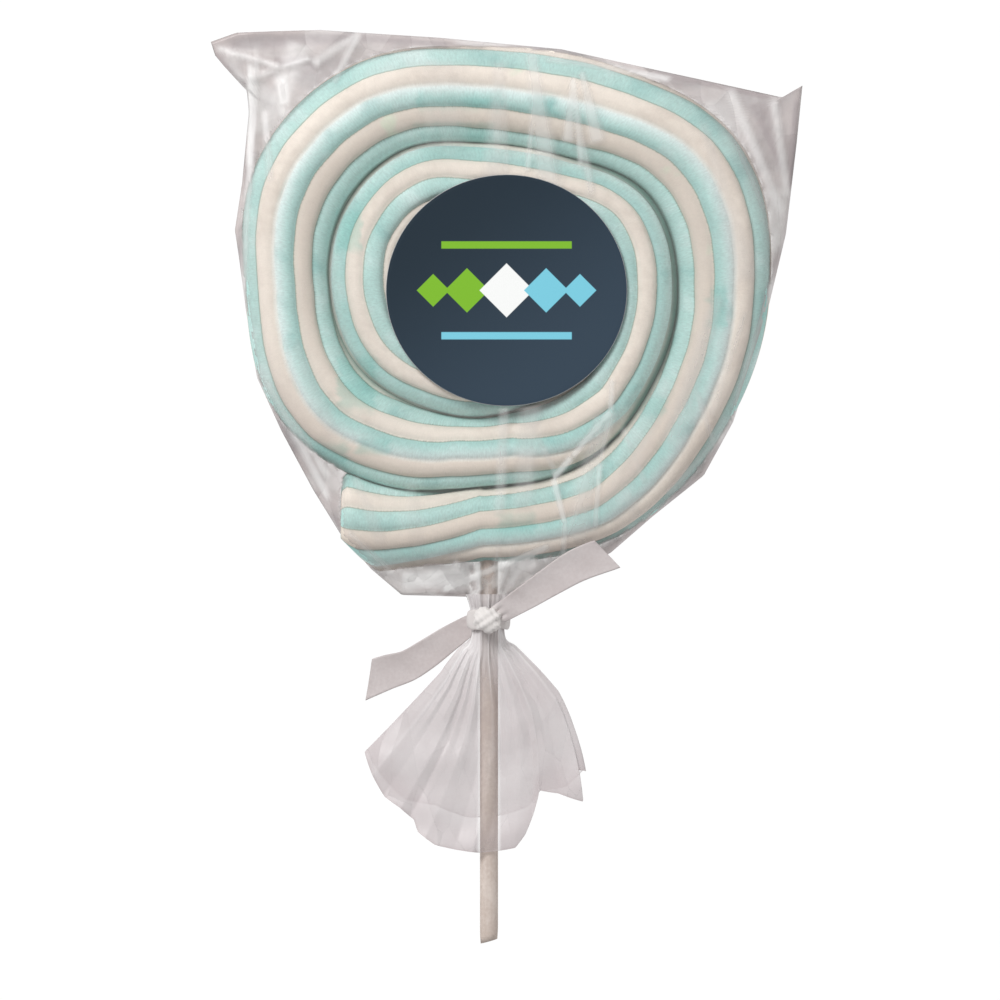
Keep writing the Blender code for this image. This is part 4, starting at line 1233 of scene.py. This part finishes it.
def ribbonEndShape(points, cut, seed):
    table = np.array(points, float)

    def lineAt(place, columns):
        place = np.clip(place, 0, len(table) - 1)
        return np.stack([smoothThrough(table[:, k], place) for k in range(columns)], -1)

    def shape(u, v):
        place = v * (len(table) - 1)
        line = lineAt(place, 5)
        way = lineAt(place + 0.02, 2) - lineAt(place - 0.02, 2)
        way /= np.hypot(way[:, 0], way[:, 1])[:, None]
        a = 2 * u - 1
        twist = np.radians(line[:, 4])
        width = line[:, 3] * a
        skew = cut * a * ease(0.75, 1.0, v)
        gathered = ease(0.22, 0.0, v)
        pleat = 0.4 * gathered * np.cos(a * 8.5) + 0.12 * wander(v * 40 + a * 3, (17, 9), seed)
        curl = 0.35 * (a ** 2 - 0.3) * ease(0.1, 0.5, v)
        x = line[:, 0] - way[:, 1] * width * np.cos(twist) + way[:, 0] * skew
        y = line[:, 1] + way[:, 0] * width * np.cos(twist) + way[:, 1] * skew
        z = line[:, 2] + width * np.sin(twist) * 0.5 + pleat + curl
        # pale: painted light on the end near the knot.
        return np.stack([x, y, z], -1), {"pale": 0.6 * ease(0.2, 0.0, v)}
    return shape


def ribbonChart(u, v):
    # Across it and along it, in centimetres.
    return u * 0.7, v * 2.8


def threads(board, chart, scale, way):
    ins = {"Vector": chart, "Scale": scale, "Distortion": 0.4}
    return board.add("ShaderNodeTexWave", ins, bands_direction=way).outputs["Fac"]


def makeRibbonMaterial():
    material, board = newMaterial("offWhiteRibbon", 0.62, 0.3)
    place = board.objectPlace()
    chart = board.chart()
    clouds = flecks(board, place, 130.0, 1500.0, 0.6)
    tone = board.blend(board.step(clouds, 0.35, 0.7), ribbon["cloth"], ribbon["clothLight"])
    # Painted light on the knot, the band and the ends near the knot.
    pale = board.attribute("pale")
    tone = board.blend(pale, tone, ribbon["fold"])
    weft = threads(board, chart, 26.0, "Y")
    warp = threads(board, chart, 20.0, "X")
    weave = board.timesPlus(weft, 0.6, board.times(warp, 0.4))
    between = board.times(board.math("SUBTRACT", 1.0, weave), 0.1)
    tone = board.blend(between, tone, ribbon["weft"])
    board.shade("Base Color", tone)
    board.shade("Normal", board.bump(weave, 0.35, 0.00012))
    return material


def knotShape(u, v):
    # A tight knot: an egg crossed by folds of ribbon.
    turn = 2 * np.pi * u
    rise = np.pi * v
    x = np.sin(rise) * np.cos(turn)
    y = np.sin(rise) * np.sin(turn)
    z = np.cos(rise)
    bandA = ease(0.75, 0.45, np.abs(0.8 * x + 0.6 * y + 0.1))
    bandB = ease(0.7, 0.4, np.abs(-0.5 * x + 0.85 * y - 0.15)) * 0.8
    bandC = ease(0.5, 0.2, np.abs(0.95 * x - 0.1 * y + 0.35)) * 0.6
    pleats = 0.05 * np.sin(11 * (0.6 * x - 0.8 * y)) + 0.03 * np.sin(19 * (0.8 * x + 0.5 * y) + 1)
    size = 0.82 + 0.2 * np.maximum(np.maximum(bandA, bandB), bandC) + pleats
    centre = ribbon["knotCentre"]
    scale = ribbon["knotSize"]
    points = np.stack([centre[k] + scale[k] * size * axis for k, axis in enumerate((x, y, z))], -1)
    # pale: painted light on the whole knot.
    return points, {"pale": np.ones_like(x)}


def bandShape(u, v):
    # The band round the neck, drawn in and crumpled, closed round its own section.
    turn = 2 * np.pi * u
    section = 2 * np.pi * v
    thick = 0.45 + 0.12 * np.sin(turn * 9 + 2 * np.cos(section))
    radius = ribbon["bandRadius"] + thick * np.cos(section)
    rise = ribbon["bandHalf"] * np.sin(section) * (1 + 0.12 * np.sin(3 * turn + 1))
    x = bag["neckX"] + radius * np.cos(turn)
    z = middle + radius * np.sin(turn)
    # pale: painted light on the band.
    return np.stack([x, ribbon["bandY"] + rise, z], -1), {"pale": np.full_like(x, 0.6)}


def thicken(mesh, thickness):
    bm = joinMeshes([mesh])
    bmesh.ops.solidify(bm, geom=bm.faces, thickness=thickness * mm)
    bmesh.ops.recalc_face_normals(bm, faces=bm.faces)
    bm.to_mesh(mesh)
    bm.free()
    return mesh


def makeRibbon():
    parts = []
    for name, seed in (("right", 51), ("left", 52)):
        shape = ribbonEndShape(ribbon[name + "End"], ribbon[name + "Cut"], seed)
        mesh = gridMesh(ribbon["across"], ribbon["along"], shape, name + "End", ribbonChart, False)
        parts.append(thicken(mesh, ribbon["thickness"]))
    parts.append(gridMesh(*ribbon["knotGrid"], knotShape, "knot", ribbonChart))
    parts.append(gridMesh(*ribbon["bandGrid"], bandShape, "band", ribbonChart))
    bm = joinMeshes(parts)
    mesh = bpy.data.meshes.new("ribbonBow")
    bm.to_mesh(mesh)
    bm.free()
    for part in parts:
        bpy.data.meshes.remove(part)
    return addPiece(mesh, makeRibbonMaterial(), "ribbon", "ribbon")


# Studio: pale floor, soft light from the upper left, camera straight above

studio = {
    "frameMiddle": (-1.458, -3.02),     # what the middle of the photograph shows, mm
    "frameWidth": 208.33,
    "cameraHeight": 1500.0,
    "sensor": 36.0,
    "target": (-1.458, 30.0, 8.0),      # what the lights point at
    "floorSize": 3.0,
    "floorTone": colour(0.02, 0.02, 0.02),
    "floorGlow": 1.0,           # the floor is a lit table, white without a shadow as in the photo
    "keyPlace": (-0.55, 0.8, 1.05),
    "keySize": 0.7,
    "keyPower": 17.0,
    "fillPlace": (0.7, -0.5, 1.1),
    "fillSize": 1.2,
    "fillPower": 2.0,
    "worldStrength": 0.42,
}


def aim(thing, place, target):
    thing.location = place
    thing.rotation_euler = (Vector(target) - Vector(place)).to_track_quat("-Z", "Y").to_euler()


def makeStudio():
    bm = bmesh.new()
    bmesh.ops.create_grid(bm, x_segments=1, y_segments=1, size=studio["floorSize"] / 2)
    bmesh.ops.translate(bm, verts=bm.verts, vec=(0, 0, -0.0001))
    floorMesh = bpy.data.meshes.new("floor")
    bm.to_mesh(floorMesh)
    bm.free()
    floor = addObject("floor", floorMesh)
    material, board = newMaterial("paleFloor", 0.9, 0.0)
    white = colour(1.0, 1.0, 1.0)
    board.fill(board.shader, {"Base Color": studio["floorTone"], "Emission Color": white,
                              "Emission Strength": studio["floorGlow"]})
    floorMesh.materials.append(material)
    world = bpy.data.worlds.new("studioAir")
    world.use_nodes = True
    air = Board(world.node_tree)
    air.fill(world.node_tree.nodes["Background"],
             {"Color": white, "Strength": studio["worldStrength"]})
    bpy.context.scene.world = world
    target = [value * mm for value in studio["target"]]
    for name in ("key", "fill"):
        light = bpy.data.lights.new(name + "Light", "AREA")
        light.shape = "DISK"
        light.size = studio[name + "Size"]
        light.energy = studio[name + "Power"]
        aim(addObject(name + "Light", light), studio[name + "Place"], target)
    camera = bpy.data.cameras.new("camera")
    camera.sensor_width = studio["sensor"]
    camera.lens = studio["sensor"] * (studio["cameraHeight"] - middle) / studio["frameWidth"]
    camera.clip_end = 10
    eye = addObject("camera", camera)
    eye.location = [value * mm for value in (*studio["frameMiddle"], studio["cameraHeight"])]
    bpy.context.scene.camera = eye
    bpy.context.scene.view_settings.view_transform = "Standard"
    print("studio ready")


marshmallow = makeMarshmallow()
stickPiece = makeStick()
makeBag(marshmallow, stickPiece, makeFilmMaterial())
makeSkirt()
makeLabel()
makeRibbon()
makeStudio()
